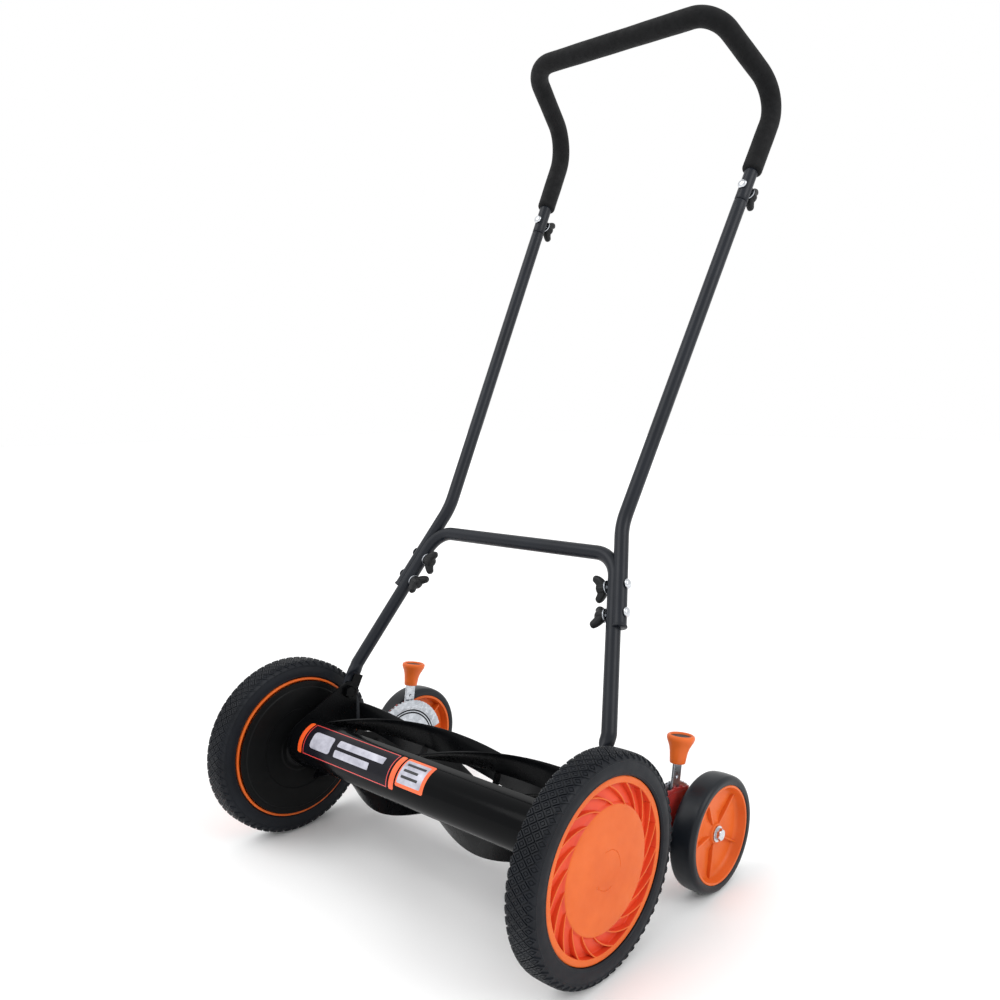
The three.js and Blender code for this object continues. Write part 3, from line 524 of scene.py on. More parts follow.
TYRE_LOW, TYRE_HIGH = box_mm("tyre_left")
TYRE_IN, TYRE_OUT = TYRE_LOW.x, TYRE_HIGH.x
TYRE_R = (TYRE_HIGH.z - TYRE_LOW.z) / 2
TYRE_MID = (TYRE_IN + TYRE_OUT) / 2
TYRE_HALF = (TYRE_OUT - TYRE_IN) / 2
RIM_R = 101.3
TREAD = 1.5
SHOULDER_R = 8.2


def crown(v):
    """Point of the tyre's base surface at arc length v across it, and its outward direction."""
    flat = TYRE_HALF - SHOULDER_R - 0.4
    dome = 0.0022 * min(abs(v), flat) ** 2
    if abs(v) <= flat:
        slope = 0.0044 * v
        n = Vector((slope, 1)).normalized()
        return Vector((v, TYRE_R - TREAD - dome)), n
    angle = (abs(v) - flat) / SHOULDER_R + 0.05
    sign = copysign(1, v)
    x = sign * (flat + SHOULDER_R * (sin(angle) - sin(0.05)))
    r = TYRE_R - TREAD - dome - SHOULDER_R * (cos(0.05) - cos(angle))
    return Vector((x, r)), Vector((sign * sin(angle), cos(angle)))


def tyre_body():
    flat = TYRE_HALF - SHOULDER_R - 0.4
    reach = flat + SHOULDER_R * 1.25
    count = 26
    surface_line = [crown(-reach + 2 * reach * i / count)[0] for i in range(count + 1)]
    across = [(TYRE_MID + p.x, p.y) for p in surface_line]
    edge = across[-1]
    outer = [
        (edge[0] - 0.15, edge[1] - 0.5),
        (edge[0] + 0.25, edge[1] - 0.9),
        (edge[0] + 0.25, edge[1] - 1.5),
        (edge[0] - 0.05, edge[1] - 1.9),
        (TYRE_OUT - 0.25, TYRE_R - 14),
        (TYRE_OUT - 0.2, TYRE_R - 18),
        (TYRE_OUT - 0.8, RIM_R + 3.6),
        (TYRE_OUT - 0.6, RIM_R + 3.2),
        (TYRE_OUT - 1.3, RIM_R + 1.6),
        (TYRE_OUT - 2.4, RIM_R + 0.5),
    ]
    inner = [(2 * TYRE_MID - x, r) for x, r in reversed(outer)]
    return revolve(loop(inner + across + outer), AXLE, 180)


DIAMOND = [(1, 0), (0.5, 0.5), (0, 1), (-0.5, 0.5), (-1, 0), (-0.5, -0.5), (0, -1), (0.5, -0.5)]


def tread_block(v0, angle0, half_v, half_c):
    """A diamond block with a sunk diamond ring in its top."""
    rings = [(1.0, -0.4), (0.93, TREAD * 0.9), (0.88, TREAD), (0.60, TREAD), (0.55, TREAD - 0.9),
             (0.40, TREAD - 0.9), (0.35, TREAD)]
    verts = []
    for scale, height in rings:
        for a, b in DIAMOND:
            p, n = crown(v0 + a * half_v * scale)
            p = p + n * height
            angle = angle0 + b * half_c * scale / TYRE_R
            verts.append((TYRE_MID + p.x, *polar(AXLE, p.y, angle)))
    return verts, skin(len(rings), len(DIAMOND))


def tyre():
    build = Build().add(tyre_body())
    around = 64
    pitch = 2 * pi / around
    width = 7.4
    for row in range(5):
        v0 = (row - 2) * width
        for i in range(around):
            angle = (i + 0.5 * (row % 2)) * pitch
            build.add(tread_block(v0, angle, width - 0.8, pitch * TYRE_R / 2 - 0.65))
    return build


both(tyre(), "tyre_tread", "wheel_{side}", "tyre_rubber", [RUBBER], turned=AXLE, nodes=("tyre",), sharp=28)

FACE = TYRE_OUT - 3.4
POCKET_IN, POCKET_OUT = 70.5, 93.4
SEAM_RADIUS = 22
WHEEL_BORE, BOSS_R, BOSS_IN, WEB_BACK, BORE_END = 8.6, 17, 264.5, 289, 291.5


def dome_groove(x, r, angle):
    """Two short arcs of a cap's seam on the dome."""
    if abs(r - SEAM_RADIUS) > 0.05:
        return x
    turn = degrees(angle) % 360
    inside = turn < 105 or turn > 345 or 214 < turn < 292
    return x - 0.55 if inside else x


def wheel_face():
    profile = fillet([
        (FACE + 1.0, 0),
        (FACE + 0.98, 20.6),
        (FACE + 0.98, 21.4),
        (FACE + 0.97, SEAM_RADIUS),
        (FACE + 0.97, 22.6),
        (FACE + 0.96, 23.4),
        (FACE + 0.6, 50),
        (FACE + 0.1, 66),
        (FACE - 0.3, POCKET_IN, 1.2),
        (FACE - 3.6, POCKET_IN + 2.6, 1.0),
        (FACE - 7.6, POCKET_OUT - 2.2, 0.8),
        (FACE - 7.4, POCKET_OUT - 0.6, 0.6),
        (FACE - 0.2, POCKET_OUT + 0.2, 0.9),
        (FACE, POCKET_OUT + 1.6),
        (FACE + 0.1, RIM_R - 1.4, 0.9),
        (FACE - 0.7, RIM_R, 0.4),
        (TYRE_IN - 0.4, RIM_R, 0.8),
        (TYRE_IN - 0.4, RIM_R - 3.1, 0.8),
        (TYRE_IN + 3, RIM_R - 3.6),
        (WEB_BACK, RIM_R - 5, 2.0),
        (WEB_BACK, BOSS_R, 2.0),
        (BOSS_IN, BOSS_R, 0.8),
        (BOSS_IN, WHEEL_BORE),
        (BORE_END, WHEEL_BORE),
        (BORE_END, 0),
    ])
    verts, faces = revolve(profile, AXLE, 144, warp=dome_groove)
    slots = []
    for face in faces:
        points = [verts[i] for i in face]
        radius = sum(hypot(p[1] - AXLE.y, p[2] - AXLE.z) for p in points) / len(points)
        depth = FACE - sum(p[0] for p in points) / len(points)
        # Slot 1 puts the painted-shade orange on the pocket floor and walls.
        slots.append(1 if POCKET_IN < radius < POCKET_OUT + 0.2 and 0.7 < depth < 9 else 0)
    return (verts, faces), slots


def swirl_rib(angle0):
    """A thin wall that runs from the dome's edge out to the flange, leaning round the wheel."""
    steps = 9
    turn = 27 * DEG
    half = 0.75
    verts = []
    for i in range(steps + 1):
        t = i / steps
        r = POCKET_IN - 1.6 + (POCKET_OUT + 1.9 - POCKET_IN) * t
        angle = angle0 + turn * t
        centre = Vector((r * cos(angle), r * sin(angle)))
        ahead_r = POCKET_OUT + 1.9 - POCKET_IN
        ahead = Vector((ahead_r * cos(angle) - r * turn * sin(angle),
                        ahead_r * sin(angle) + r * turn * cos(angle))).normalized()
        side = Vector((-ahead.y, ahead.x))
        top = FACE - 0.35 + 0.15 * t
        bottom = FACE - 9
        wide = half + 0.9
        for x, w in ((bottom, -wide), (top - 0.35, -half), (top, -half + 0.3), (top, half - 0.3),
                     (top - 0.35, half), (bottom, wide)):
            p = centre + side * w
            verts.append((x, AXLE.y + p.x, AXLE.z + p.y))
    # Slot 1, the painted-shade orange, goes on the rib's side walls; the top stays plain orange.
    return (verts, skin(steps + 1, 6)), [1, 0, 0, 0, 1, 1] * steps + [0, 0]


def gear_ring():
    teeth, tip, root = 56, 69.2, 72.6
    toward_reel = atan2(REEL.z - AXLE.z, REEL.y - AXLE.y)
    outline = []
    for i in range(teeth):
        for share, r in ((-0.30, root), (-0.14, tip), (0.14, tip), (0.30, root)):
            angle = (i + 0.5 + share) * 2 * pi / teeth + toward_reel
            outline.append(polar(AXLE, r, angle))
    return plate(circle(AXLE.y, AXLE.z, 78, 96), BOSS_IN + 2, WEB_BACK + 0.3, [outline])


def main_wheel():
    build = Build().add(*wheel_face())
    ribs = 19
    for i in range(ribs):
        build.add(*swirl_rib(2 * pi * i / ribs + 0.06))
    build.add(gear_ring())
    x = FACE + 0.72
    dimple = fillet([(x - 0.4, 0), (x - 0.4, 1.0), (x + 0.35, 1.5), (x + 0.5, 2.1), (x - 0.3, 2.8)])
    spot = Vector((0, *polar(AXLE, SEAM_RADIUS, 214 * DEG)))
    build.add(revolve(loop(dimple + [(x - 0.6, 0)]), spot, 20))
    return build


both(main_wheel(), "wheel_moulding", "wheel_{side}", "orange_plastic", [ORANGE, ORANGE_PAINTED_SHADE],
     turned=AXLE, nodes=("main_wheel",), sharp=30)

# ------------------------------------------------------------------ tracking wheels

TRACK_LOW, TRACK_HIGH = box_mm("tracking_tyre_left")
TRACK_IN, TRACK_OUT = TRACK_LOW.x, TRACK_HIGH.x
TRACK_R = (TRACK_HIGH.z - TRACK_LOW.z) / 2
HUB_LIP = 63.5


def tracking_tyre():
    mid = (TRACK_IN + TRACK_OUT) / 2
    half = [
        (TRACK_OUT - 1.6, HUB_LIP + 0.1, 0.5),
        (TRACK_OUT - 0.3, HUB_LIP + 1.4, 1.0),
        (TRACK_OUT, TRACK_R - 6.5, 2.0),
        (TRACK_OUT - 0.7, TRACK_R - 4.2, 1.0),
        (TRACK_OUT - 3.4, TRACK_R - 1.15, 2.4),
        (TRACK_OUT - 9, TRACK_R - 0.25, 3.0),
        (mid, TRACK_R),
    ]
    mirrored = [(2 * mid - p[0], *p[1:]) for p in reversed(half[:-1])]
    return Build().add(revolve(loop(fillet(half + mirrored, 5)), TRACK, 144))


def spoke(angle, x0, x1, r0, r1, half, centre):
    """A radial rib with a rounded outer edge."""
    verts = []
    for r, x_top in ((r0, x1 - 1.5), ((r0 + r1) / 2, x1 - 0.4), (r1, x1)):
        for x, w in ((x0, -half - 0.7), (x_top - 0.5, -half), (x_top, -half + 0.5), (x_top, half - 0.5),
                     (x_top - 0.5, half), (x0, half + 0.7)):
            y = r * cos(angle) - w * sin(angle)
            z = r * sin(angle) + w * cos(angle)
            verts.append((x, centre.y + y, centre.z + z))
    return verts, skin(3, 6)


def tracking_hub():
    lip = HUB_LIP - 3.6
    web = 284
    profile = fillet([
        (TRACK_IN + 0.6, lip, 0.8),
        (TRACK_IN + 0.6, HUB_LIP, 0.6),
        (TRACK_OUT - 1.2, HUB_LIP, 0.8),
        (TRACK_OUT - 1.2, lip + 0.8, 1.0),
        (web + 6.5, lip - 3, 5.0),
        (web + 4.5, 22, 4.0),
        (web + 8, 14, 3.0),
        (web + 12, 12.6, 1.0),
        (web + 12, TRACK_HOLE),
        (264, TRACK_HOLE),
        (264, 12, 1.0),
        (web, 14, 4.0),
        (web, lip - 3, 4.0),
    ], 6)
    build = Build().add(revolve(loop(profile), TRACK, 120))
    for i in range(5):
        angle = (40 + 72 * i) * DEG
        build.add(spoke(angle, web + 2, web + 11, 11, lip - 1.2, 1.25, TRACK))
        build.add(spoke(angle, web + 1, web - 10, 11, lip - 1.2, 1.25, TRACK))
    return build


both(tracking_tyre(), "tracking_tread", "tracking_wheel_{side}", "tracking_rubber", [TRACK_RUBBER],
     nodes=("tracking_tyre",), sharp=50)
both(tracking_hub(), "tracking_hub_moulding", "tracking_wheel_{side}", "orange_plastic", [ORANGE],
     nodes=("tracking_hub",), sharp=30)


def hex_head(x0, x1, radius, centre, turn=0.0):
    """A hexagon head, its outer corners rounded off."""
    flat = radius * cos(pi / 6)
    verts = []
    sides = 36
    for x, limit in ((x0, 1.0), (x1 - 0.8, 1.0), (x1, flat * 0.98 / radius), (x1, 0.5)):
        for k in range(sides):
            angle = turn + 2 * pi * k / sides
            local = (angle - turn) % (pi / 3) - pi / 6
            r = min(flat / cos(local), radius * limit)
            verts.append((x, *polar(centre, r, angle)))
    return verts, skin(4, sides)


def washer(x0, x1, inner, outer, centre):
    return revolve(loop(fillet([(x0, inner), (x0, outer, 0.3), (x1, outer, 0.3), (x1, inner)])), centre, 48)


def tracking_bolt():
    low, high = box_mm("tracking_axle_bolt_left")
    head = high.x - 5.6
    build = Build()
    build.add(revolve(fillet([(low.x, 0), (low.x, 5, 0.5), (head, 5), (head, 0)]), TRACK, 32))
    build.add(washer(head - 1.5, head - 0.1, 5.1, 10.5, TRACK))
    build.add(hex_head(head, high.x, 8, TRACK, 0.2))
    return build


both(tracking_bolt(), "tracking_bolt_plated", "lever_{side}", "zinc", [BOLT],
     nodes=("tracking_axle_bolt",), sharp=25)

# ------------------------------------------------------------------ height levers

LEAN = 80.6 * DEG
LEVER_LOW, LEVER_HIGH = box_mm("lever_arm_left")
LEVER_UP = Vector((0, cos(LEAN), sin(LEAN)))
LEVER_BACK = Vector((0, sin(LEAN), -cos(LEAN)))
STRAP_HALF = 9


def lever_point(up, back=0.0):
    p = PIVOT + LEVER_UP * up + LEVER_BACK * back
    return p.y, p.z


def lever_arm():
    x0, x1 = LEVER_LOW.x, LEVER_HIGH.x
    foot = hull([(PIVOT.y, PIVOT.z, 16), (TRACK.y, TRACK.z, 13)])
    holes = [circle(PIVOT.y, PIVOT.z, PIVOT_HOLE), circle(TRACK.y, TRACK.z, TRACK_HOLE)]
    foot_plate = plate(foot, x0, x1, holes)
    strap = [lever_point(8, STRAP_HALF), lever_point(121, STRAP_HALF), lever_point(121, -STRAP_HALF),
             lever_point(8, -STRAP_HALF)]
    hole = circle(*lever_point(79), 2.2, 24)
    return Build().add(foot_plate).add(plate(strap, x0 + 0.02, x1 - 0.02, [hole]))


both(lever_arm(), "lever_strap", "lever_{side}", "zinc", [ZINC], nodes=("lever_arm",), bevel=0.5, segments=3)


def lever_knob():
    """Round below, flared to a wide soft lip that leans to the rear, with a sunk top."""
    low, high = box_mm("lever_knob_left")
    x = (low.x + high.x) / 2
    stations = [(96, 8.6, 0), (96.2, 9.6, 0), (97.1, 10.1, 0), (104, 10.8, 0.1), (111, 11.8, 0.5),
                (116, 13.2, 1.2), (120.5, 15.2, 1.9), (124, 17.0, 2.2), (126.8, 17.9, 2.2),
                (129.2, 18.0, 2.2), (131, 17.2, 2.2), (131.9, 15.8, 2.2), (131.9, 14.6, 2.2),
                (131.2, 13.6, 2.2), (129.4, 13.2, 2.2)]
    around = 48
    verts = []
    for up, radius, shift in stations:
        for k in range(around):
            angle = 2 * pi * k / around
            y, z = lever_point(up, shift + radius * sin(angle))
            verts.append((x + radius * cos(angle), y, z))
    faces = skin(len(stations), around)
    slots = [0] * (len(faces) - 1) + [1]
    return Build().add((verts, faces), slots)


both(lever_knob(), "lever_knob_moulded", "lever_{side}", "orange_plastic", [ORANGE, RECESS],
     nodes=("lever_knob",), sharp=50)


def quadrant():
    """Pressed sector: wide toothed rim, two grooves in near-black zinc as painted shade, collar down to the
    side plate.
    """
    low, high = box_mm("quadrant_left")
    x0, x1 = 250, high.x
    profile = fillet([
        (x1, 15), (x1, 71.2, 0.6), (x0 - 1.0, 72, 0.6), (x0 - 1.0, 60.5, 0.8), (x0, 58.5, 0.8),
        (x0, 57.2), (x0 + 1.1, 57.0), (x0 + 1.1, 54.9), (x0, 54.7), (x0, 53.1), (x0 + 1.1, 52.9),
        (x0 + 1.1, 50.8), (x0, 50.6), (x0, 42, 0.8), (x0 - 0.9, 40, 0.8), (x0 - 0.9, 30, 0.8), (x0, 28, 0.8),
        (x0, 15),
    ], 3)
    verts, faces = revolve(loop(profile), PIVOT, 90, 14, 136)
    slots = []
    for face in faces:
        depth = sum(verts[i][0] for i in face) / len(face) - x0
        # Slot 1 puts the near-black painted-shade zinc on the groove faces.
        slots.append(1 if 0.4 < depth < 1.2 and len(face) == 4 else 0)
    build = Build().add((verts, faces), slots)
    root, teeth = 71.4, 22
    for i in range(teeth):
        angle = (17 + 6 * i) * DEG
        centre = Vector((0, *polar(PIVOT, root, angle)))
        across = Vector((0, -sin(angle), cos(angle)))
        out = Vector((0, cos(angle), sin(angle)))
        tooth = [centre - across * 1.9 - out, centre - across * 1.2 + out * 0.9,
                 centre + across * 1.2 + out * 0.9, centre + across * 1.9 - out]
        build.add(plate([(p.y, p.z) for p in tooth], x0 - 0.5, x1 - 0.5))
    collar = fillet([(low.x, 6.4), (low.x, 13, 0.5), (x0 + 0.5, 13), (x0 - 0.5, 16, 1), (x1, 16), (x1, 6.4)])
    build.add(revolve(loop(collar), PIVOT, 48))
    return build


both(quadrant(), "quadrant_pressing", "deck", "zinc", [ZINC, ZINC_PAINTED_GROOVE_SHADE], nodes=("quadrant",), sharp=28)


def index_plate():
    low, high = box_mm("index_plate_left")
    rim = 66
    profile = fillet([(low.x, 15), (low.x, rim, 0.5), (high.x, rim, 0.5), (high.x, 62, 0.4),
                      (high.x - 0.8, 60, 0.4), (high.x - 0.8, 24, 0.4), (high.x, 22, 0.4), (high.x, 15)])
    build = Build().add(revolve(loop(profile), PIVOT, 72, 30, 83))
    for i in range(4):
        angle = LEAN + (12 * (i - 2) + 6) * DEG
        centre = Vector((0, *polar(PIVOT, rim, angle)))
        build.add(revolve(fillet([(low.x + 0.2, 0), (low.x + 0.2, 2.4, 0.5), (high.x - 0.2, 2.4, 0.5),
                                  (high.x - 0.2, 0)]), centre, 20))
    build.add(revolve(loop([(low.x, 6.4), (low.x, 16), (high.x, 16), (high.x, 6.4)]), PIVOT, 40))
    return build


# The index plate gets the dark red painted-shade copy of its orange.
both(index_plate(), "index_plate_moulded", "deck", "index_orange", [INDEX_PLATE_PAINTED_SHADE], nodes=("index_plate",),
     sharp=28)


def pivot_bolt(node, centre, shank, head_from, head_radius):
    low, high = box_mm(f"{node}_left")
    build = Build()
    build.add(revolve(fillet([(low.x + 1, 0), (low.x + 1, shank, 0.4), (head_from + 1, shank),
                              (head_from + 1, 0)]), centre, 32))
    build.add(hex_head(low.x + 5.2, low.x, head_radius, centre, 0.3), 1)
    top = high.x
    dome = fillet([(head_from, 0), (head_from, head_radius, 0.3), (top - 2.2, head_radius, 1.6),
                   (top, head_radius * 0.55, 1.5), (top, 0)], 5)
    build.add(revolve(dome, centre, 40))
    return build


both(pivot_bolt("handle_bolt", FOLD, 5, 240.0, 9), "handle_bolt_plated", "deck", "zinc", [BOLT, STEEL_BLACK],
     nodes=("handle_bolt",), sharp=28)
both(pivot_bolt("lever_bolt", PIVOT, 6, 261.6, 10), "lever_bolt_plated", "deck", "zinc", [BOLT, STEEL_BLACK],
     nodes=("lever_bolt",), sharp=28)

# ------------------------------------------------------------------ deck

HANDLE_LEAN = 0.502
UP = Vector((0, sin(HANDLE_LEAN), cos(HANDLE_LEAN)))
BACK = Vector((0, cos(HANDLE_LEAN), -sin(HANDLE_LEAN)))
PLATE_LOW, PLATE_HIGH = box_mm("side_plate_left")
PLATE_IN, PLATE_OUT = PLATE_LOW.x, PLATE_LOW.x + 3
SHIELD = Vector((0, AXLE.y - 5, 145))
SHIELD_R = 32
SHIELD_TOP, SHIELD_EDGE = 88, 231


def handle_point(x, s, back=0.0):
    return Vector((x, FOLD.y, FOLD.z)) + UP * s + BACK * back


def side_plate():
    middle = [(AXLE.y, AXLE.z, 24), (REEL.y, REEL.z, 22)]
    front = hull(middle + [(SHIELD.y, SHIELD.z, SHIELD_R + 2), (FOLD.y, FOLD.z, 15)], 96)
    rear = hull(middle + [(AXLE.y + 104, 62, 18), (PIVOT.y, PIVOT.z, 20)], 96)
    bores = [circle(AXLE.y, AXLE.z, SHAFT_HOLE), circle(REEL.y, REEL.z, SHAFT_HOLE)]
    build = Build().add(plate(front, PLATE_IN, PLATE_OUT, bores + [circle(FOLD.y, FOLD.z, FOLD_HOLE)]))
    build.add(plate(rear, PLATE_IN + 0.05, PLATE_OUT - 0.05, bores + [circle(PIVOT.y, PIVOT.z, PIVOT_HOLE)]))
    corner = [(11.3, 15), (15.3, 15), (15.3, 29), (11.3, 29)]
    tab = [handle_point(0, s, b) for b, s in corner]
    build.add(plate([(p.y, p.z) for p in tab], PLATE_OUT - 0.4, PLATE_HIGH.x))
    web = [handle_point(0, s, b) for b, s in ((-0.7, 5), (15.3, 5), (15.3, 29), (-0.7, 29))]
    build.add(plate([(p.y, p.z) for p in web], PLATE_IN + 0.03, PLATE_OUT - 0.03))
    return build


both(side_plate(), "side_plate_enamelled", "deck", "black_steel", [STEEL_BLACK], nodes=("side_plate",),
     bevel=0.5, sharp=25)


def dust_cover():
    low, high = box_mm("dust_cover_left")
    inner = 258.5
    profile = fillet([
        (high.x, WHEEL_BORE), (high.x, 97, 0.4), (inner + 0.9, 97, 0.6), (inner + 0.9, 89.2, 0.5),
        (inner, 88.2, 0.5), (inner, 60, 0.6), (inner + 0.8, 59, 0.6), (inner + 0.8, 34, 0.8),
        (inner, 32, 0.8), (inner, 26, 1.5), (inner - 4, 21, 1.5), (low.x, 21, 0.8), (low.x, WHEEL_BORE),
    ])
    return Build().add(revolve(loop(profile), AXLE, 128))


both(dust_cover(), "dust_cover_moulded", "deck", "black_plastic", [COVER], nodes=("dust_cover",), sharp=28)


def arc_points(radius, start, end, count):
    return [polar(SHIELD, radius, (start + (end - start) * i / count) * DEG) for i in range(count + 1)]


def front_shield():
    """Half-round sheet with a turned-down flange behind and a rolled edge in front."""
    low, high = box_mm("front_shield")
    thick = 2.0
    outer = arc_points(SHIELD_R, SHIELD_TOP, SHIELD_EDGE, 56)
    inner = arc_points(SHIELD_R - thick, SHIELD_TOP, SHIELD_EDGE, 56)[::-1]
    rear, top = high.y, SHIELD.z + SHIELD_R
    flange_out = fillet([(rear, top - 7), (rear, top, 1.8), outer[0]], 6)[:-1]
    flange_in = fillet([inner[-1], (rear - thick, top - thick, 0.8), (rear - thick, top - 7)], 4)[1:]
    outline = flange_out + outer + inner + flange_in
    build = Build().add(plate(outline, low.x, high.x))
    hem = Vector((0, *arc_points(SHIELD_R - thick / 2, SHIELD_EDGE + 0.5, 232, 1)[0]))
    hem_line = [(low.x, 0), (low.x, 1.35), (high.x, 1.35), (high.x, 0)]
    build.add(revolve(fillet(hem_line), hem, 20))
    return build


front_shield().finish("front_shield_enamelled", "deck", "black_steel", [SHELL], nodes=("front_shield",),
                      sharp=25)


STICKER_THICK = 0.12


def panel(x0, x1, a0, a1, lift, corner=2.0):
    """A thin sticker bent round the shield, from angle a0 to a1. corner rounds its ends, in millimetres."""
    across, along = 24, 10
    verts = []
    for layer in (lift - STICKER_THICK, lift):
        for i in range(across + 1):
            t = i / across
            angle = a0 + (a1 - a0) * t
            reach = min(t, 1 - t) * abs(a1 - a0) * DEG * SHIELD_R
            short = corner - min(corner, reach)
            inset = corner - sqrt(max(0.0, corner ** 2 - short ** 2))
            for k in range(along + 1):
                x = x0 + inset + (x1 - x0 - 2 * inset) * k / along
                verts.append((x, *polar(SHIELD, SHIELD_R + layer, angle * DEG)))
    row = along + 1
    size = (across + 1) * row
    faces = []
    for i in range(across):
        for k in range(along):
            a = i * row + k
            faces.append((a, a + 1, a + row + 1, a + row))
            faces.append((size + a, size + a + row, size + a + row + 1, size + a + 1))
    rim = (list(range(along)) + [i * row + along for i in range(across)]
           + [across * row + along - k for k in range(along)] + [(across - i) * row for i in range(across)])
    for a, b in zip(rim, rim[1:] + rim[:1]):
        faces.append((a, size + a, size + b, b))
    return verts, faces


def frame_panel(build, x0, x1, a0, a1, lift, band, slot):
    """A thin border made of four strips."""
    turn = band / SHIELD_R / DEG
    build.add(panel(x0, x1, a0, a0 + turn, lift, corner=0), slot)
    build.add(panel(x0, x1, a1 - turn, a1, lift, corner=0), slot)
    build.add(panel(x0, x0 + band, a0 + turn, a1 - turn, lift, corner=0), slot)
    build.add(panel(x1 - band, x1, a0 + turn, a1 - turn, lift, corner=0), slot)


def decals():
    """The long sticker and the small one, with plain bars where the real ones carry lettering."""
    build = Build()
    build.add(panel(-203, -20, 98, 184, 0.2), 0)
    frame_panel(build, -201, -22, 100, 182, 0.3, 1.1, 1)
    build.add(panel(-213, -204.5, 99, 183, 0.2, corner=1.2), 2)
    build.add(panel(-18, -9, 99, 183, 0.2, corner=1.2), 2)
    build.add(panel(-188, -144, 120, 162, 0.32, corner=5.0), 3)
    build.add(panel(-134, -38, 120, 137, 0.32, corner=1.5), 3)
    build.add(panel(-134, -62, 145, 162, 0.32, corner=1.5), 3)
    build.add(panel(-6, 45, 98, 170, 0.2, corner=2.0), 2)
    build.add(panel(-4, 39, 105, 162, 0.3, corner=1.2), 3)
    for row, length in enumerate((34, 26, 30)):
        build.add(panel(1, 1 + length, 113 + 15 * row, 119 + 15 * row, 0.4, corner=0.8), 4)
    return build


decals().finish("front_stickers", "deck", "black_steel",
                [DECAL, DECAL_EDGE, DECAL_ORANGE, SILVER_INK, DARK_INK])


def rounded_section(node, corners, thickness_bevel, material, name, slot):
    low, high = box_mm(node)
    Build().add(plate(corners, low.x, high.x)).finish(name, "deck", slot, [material], nodes=(node,),
                                                      bevel=thickness_bevel, segments=3)


BAR_LOW, BAR_HIGH = box_mm("cutter_bar")
rounded_section("cutter_bar", [
    (BAR_LOW.y, BAR_LOW.z), (BAR_HIGH.y, BAR_LOW.z), (BAR_HIGH.y, BAR_HIGH.z), (BAR_HIGH.y - 5, BAR_HIGH.z),
    (BAR_HIGH.y - 5, BAR_LOW.z + 6), (BAR_LOW.y, BAR_LOW.z + 6),
], 1.2, STEEL_BLACK, "cutter_bar_enamelled", "black_steel")
KNIFE_LOW, KNIFE_HIGH = box_mm("bed_knife")
rounded_section("bed_knife", [
    (KNIFE_LOW.y, KNIFE_HIGH.z), (KNIFE_LOW.y, KNIFE_HIGH.z - 1.2), (KNIFE_LOW.y + 6, KNIFE_LOW.z),
    (KNIFE_HIGH.y, KNIFE_LOW.z), (KNIFE_HIGH.y, KNIFE_HIGH.z),
], 0.25, STEEL, "bed_knife_ground", "bare_steel")


def stub_axle():
    low, high = box_mm("wheel_axle_left")
    profile = fillet([(low.x, 0), (low.x, 11.5, 1), (PLATE_IN - 0.3, 13, 0.4), (PLATE_IN - 0.3, 8),
                      (high.x, 8, 1), (high.x, 0)])
    return Build().add(revolve(profile, AXLE, 48))


both(stub_axle(), "wheel_axle_turned", "deck", "bare_steel", [STEEL], nodes=("wheel_axle",), sharp=28)

# ------------------------------------------------------------------ reel

REEL_R = 67
REEL_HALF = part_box("reel_blade_1")[1].x / MM
BLADES = 5
REEL_PITCH = 192
TWIST = -2 * pi / BLADES / REEL_PITCH
BLADE_WIDTH, BLADE_THICK, BLADE_TILT = 36, 2.5, 25 * DEG
REEL_PHASE = 50.4 * DEG
BLADE_EDGE = REEL_R - 0.6


def blade(index):
    """A helical strip with a ground outer edge."""
    steps = 110
    across = [(0.0, -0.5), (0.0, 0.1), (0.06, 0.5), (0.3, 0.5), (0.65, 0.5), (1.0, 0.5), (1.0, -0.5),
              (0.65, -0.5), (0.3, -0.5)]
    verts = []
    for i in range(steps + 1):
        x = -REEL_HALF + 2 * REEL_HALF * i / steps
        angle = REEL_PHASE + 2 * pi * index / BLADES + x * TWIST
        for inward, side in across:
            depth = inward * BLADE_WIDTH
            through = side * BLADE_THICK
            radial = BLADE_EDGE - depth * cos(BLADE_TILT) - through * sin(BLADE_TILT)
            sideways = -depth * sin(BLADE_TILT) + through * cos(BLADE_TILT)
            verts.append((x, REEL.y + radial * cos(angle) - sideways * sin(angle),
                          REEL.z + radial * sin(angle) + sideways * cos(angle)))
    return Build().add((verts, skin(steps + 1, len(across))))


for i in range(BLADES):
    blade(i).finish(f"reel_blade_strip_{i + 1}", "reel", "reel_black", [BLADE],
                    nodes=(f"reel_blade_{i + 1}",))


def spider(x):
    inner_y = BLADE_EDGE - BLADE_WIDTH * cos(BLADE_TILT)
    inner_z = -BLADE_WIDTH * sin(BLADE_TILT)
    reach = hypot(inner_y, inner_z) - 0.3
    lag = atan2(inner_z, inner_y)
    outline = []
    for i in range(BLADES):
        angle = REEL_PHASE + lag + x * TWIST + 2 * pi * i / BLADES
        along = Vector((cos(angle), sin(angle)))
        side = Vector((-along.y, along.x))
        for r, w in ((15, -7.5), (20, -5.4), (reach - 3, -5), (reach, -5.6), (reach, 5.6), (reach - 3, 5),
                     (20, 5.4), (15, 7.5)):
            outline.append((REEL.y + along.x * r + side.x * w, REEL.z + along.y * r + side.y * w))
    build = Build().add(plate(outline, x - 1.5, x + 1.5))
    collar = fillet([(x - 5, SHAFT_HOLE), (x - 5, 13, 0.8), (x + 5, 13, 0.8), (x + 5, SHAFT_HOLE)])
    build.add(revolve(loop(collar), REEL, 40))
    return build


for i in range(4):
    low, high = box_mm(f"reel_spider_{i + 1}")
    spider((low.x + high.x) / 2).finish(f"reel_spider_pressed_{i + 1}", "reel", "reel_black", [BLADE],
                                        nodes=(f"reel_spider_{i + 1}",), bevel=0.4)

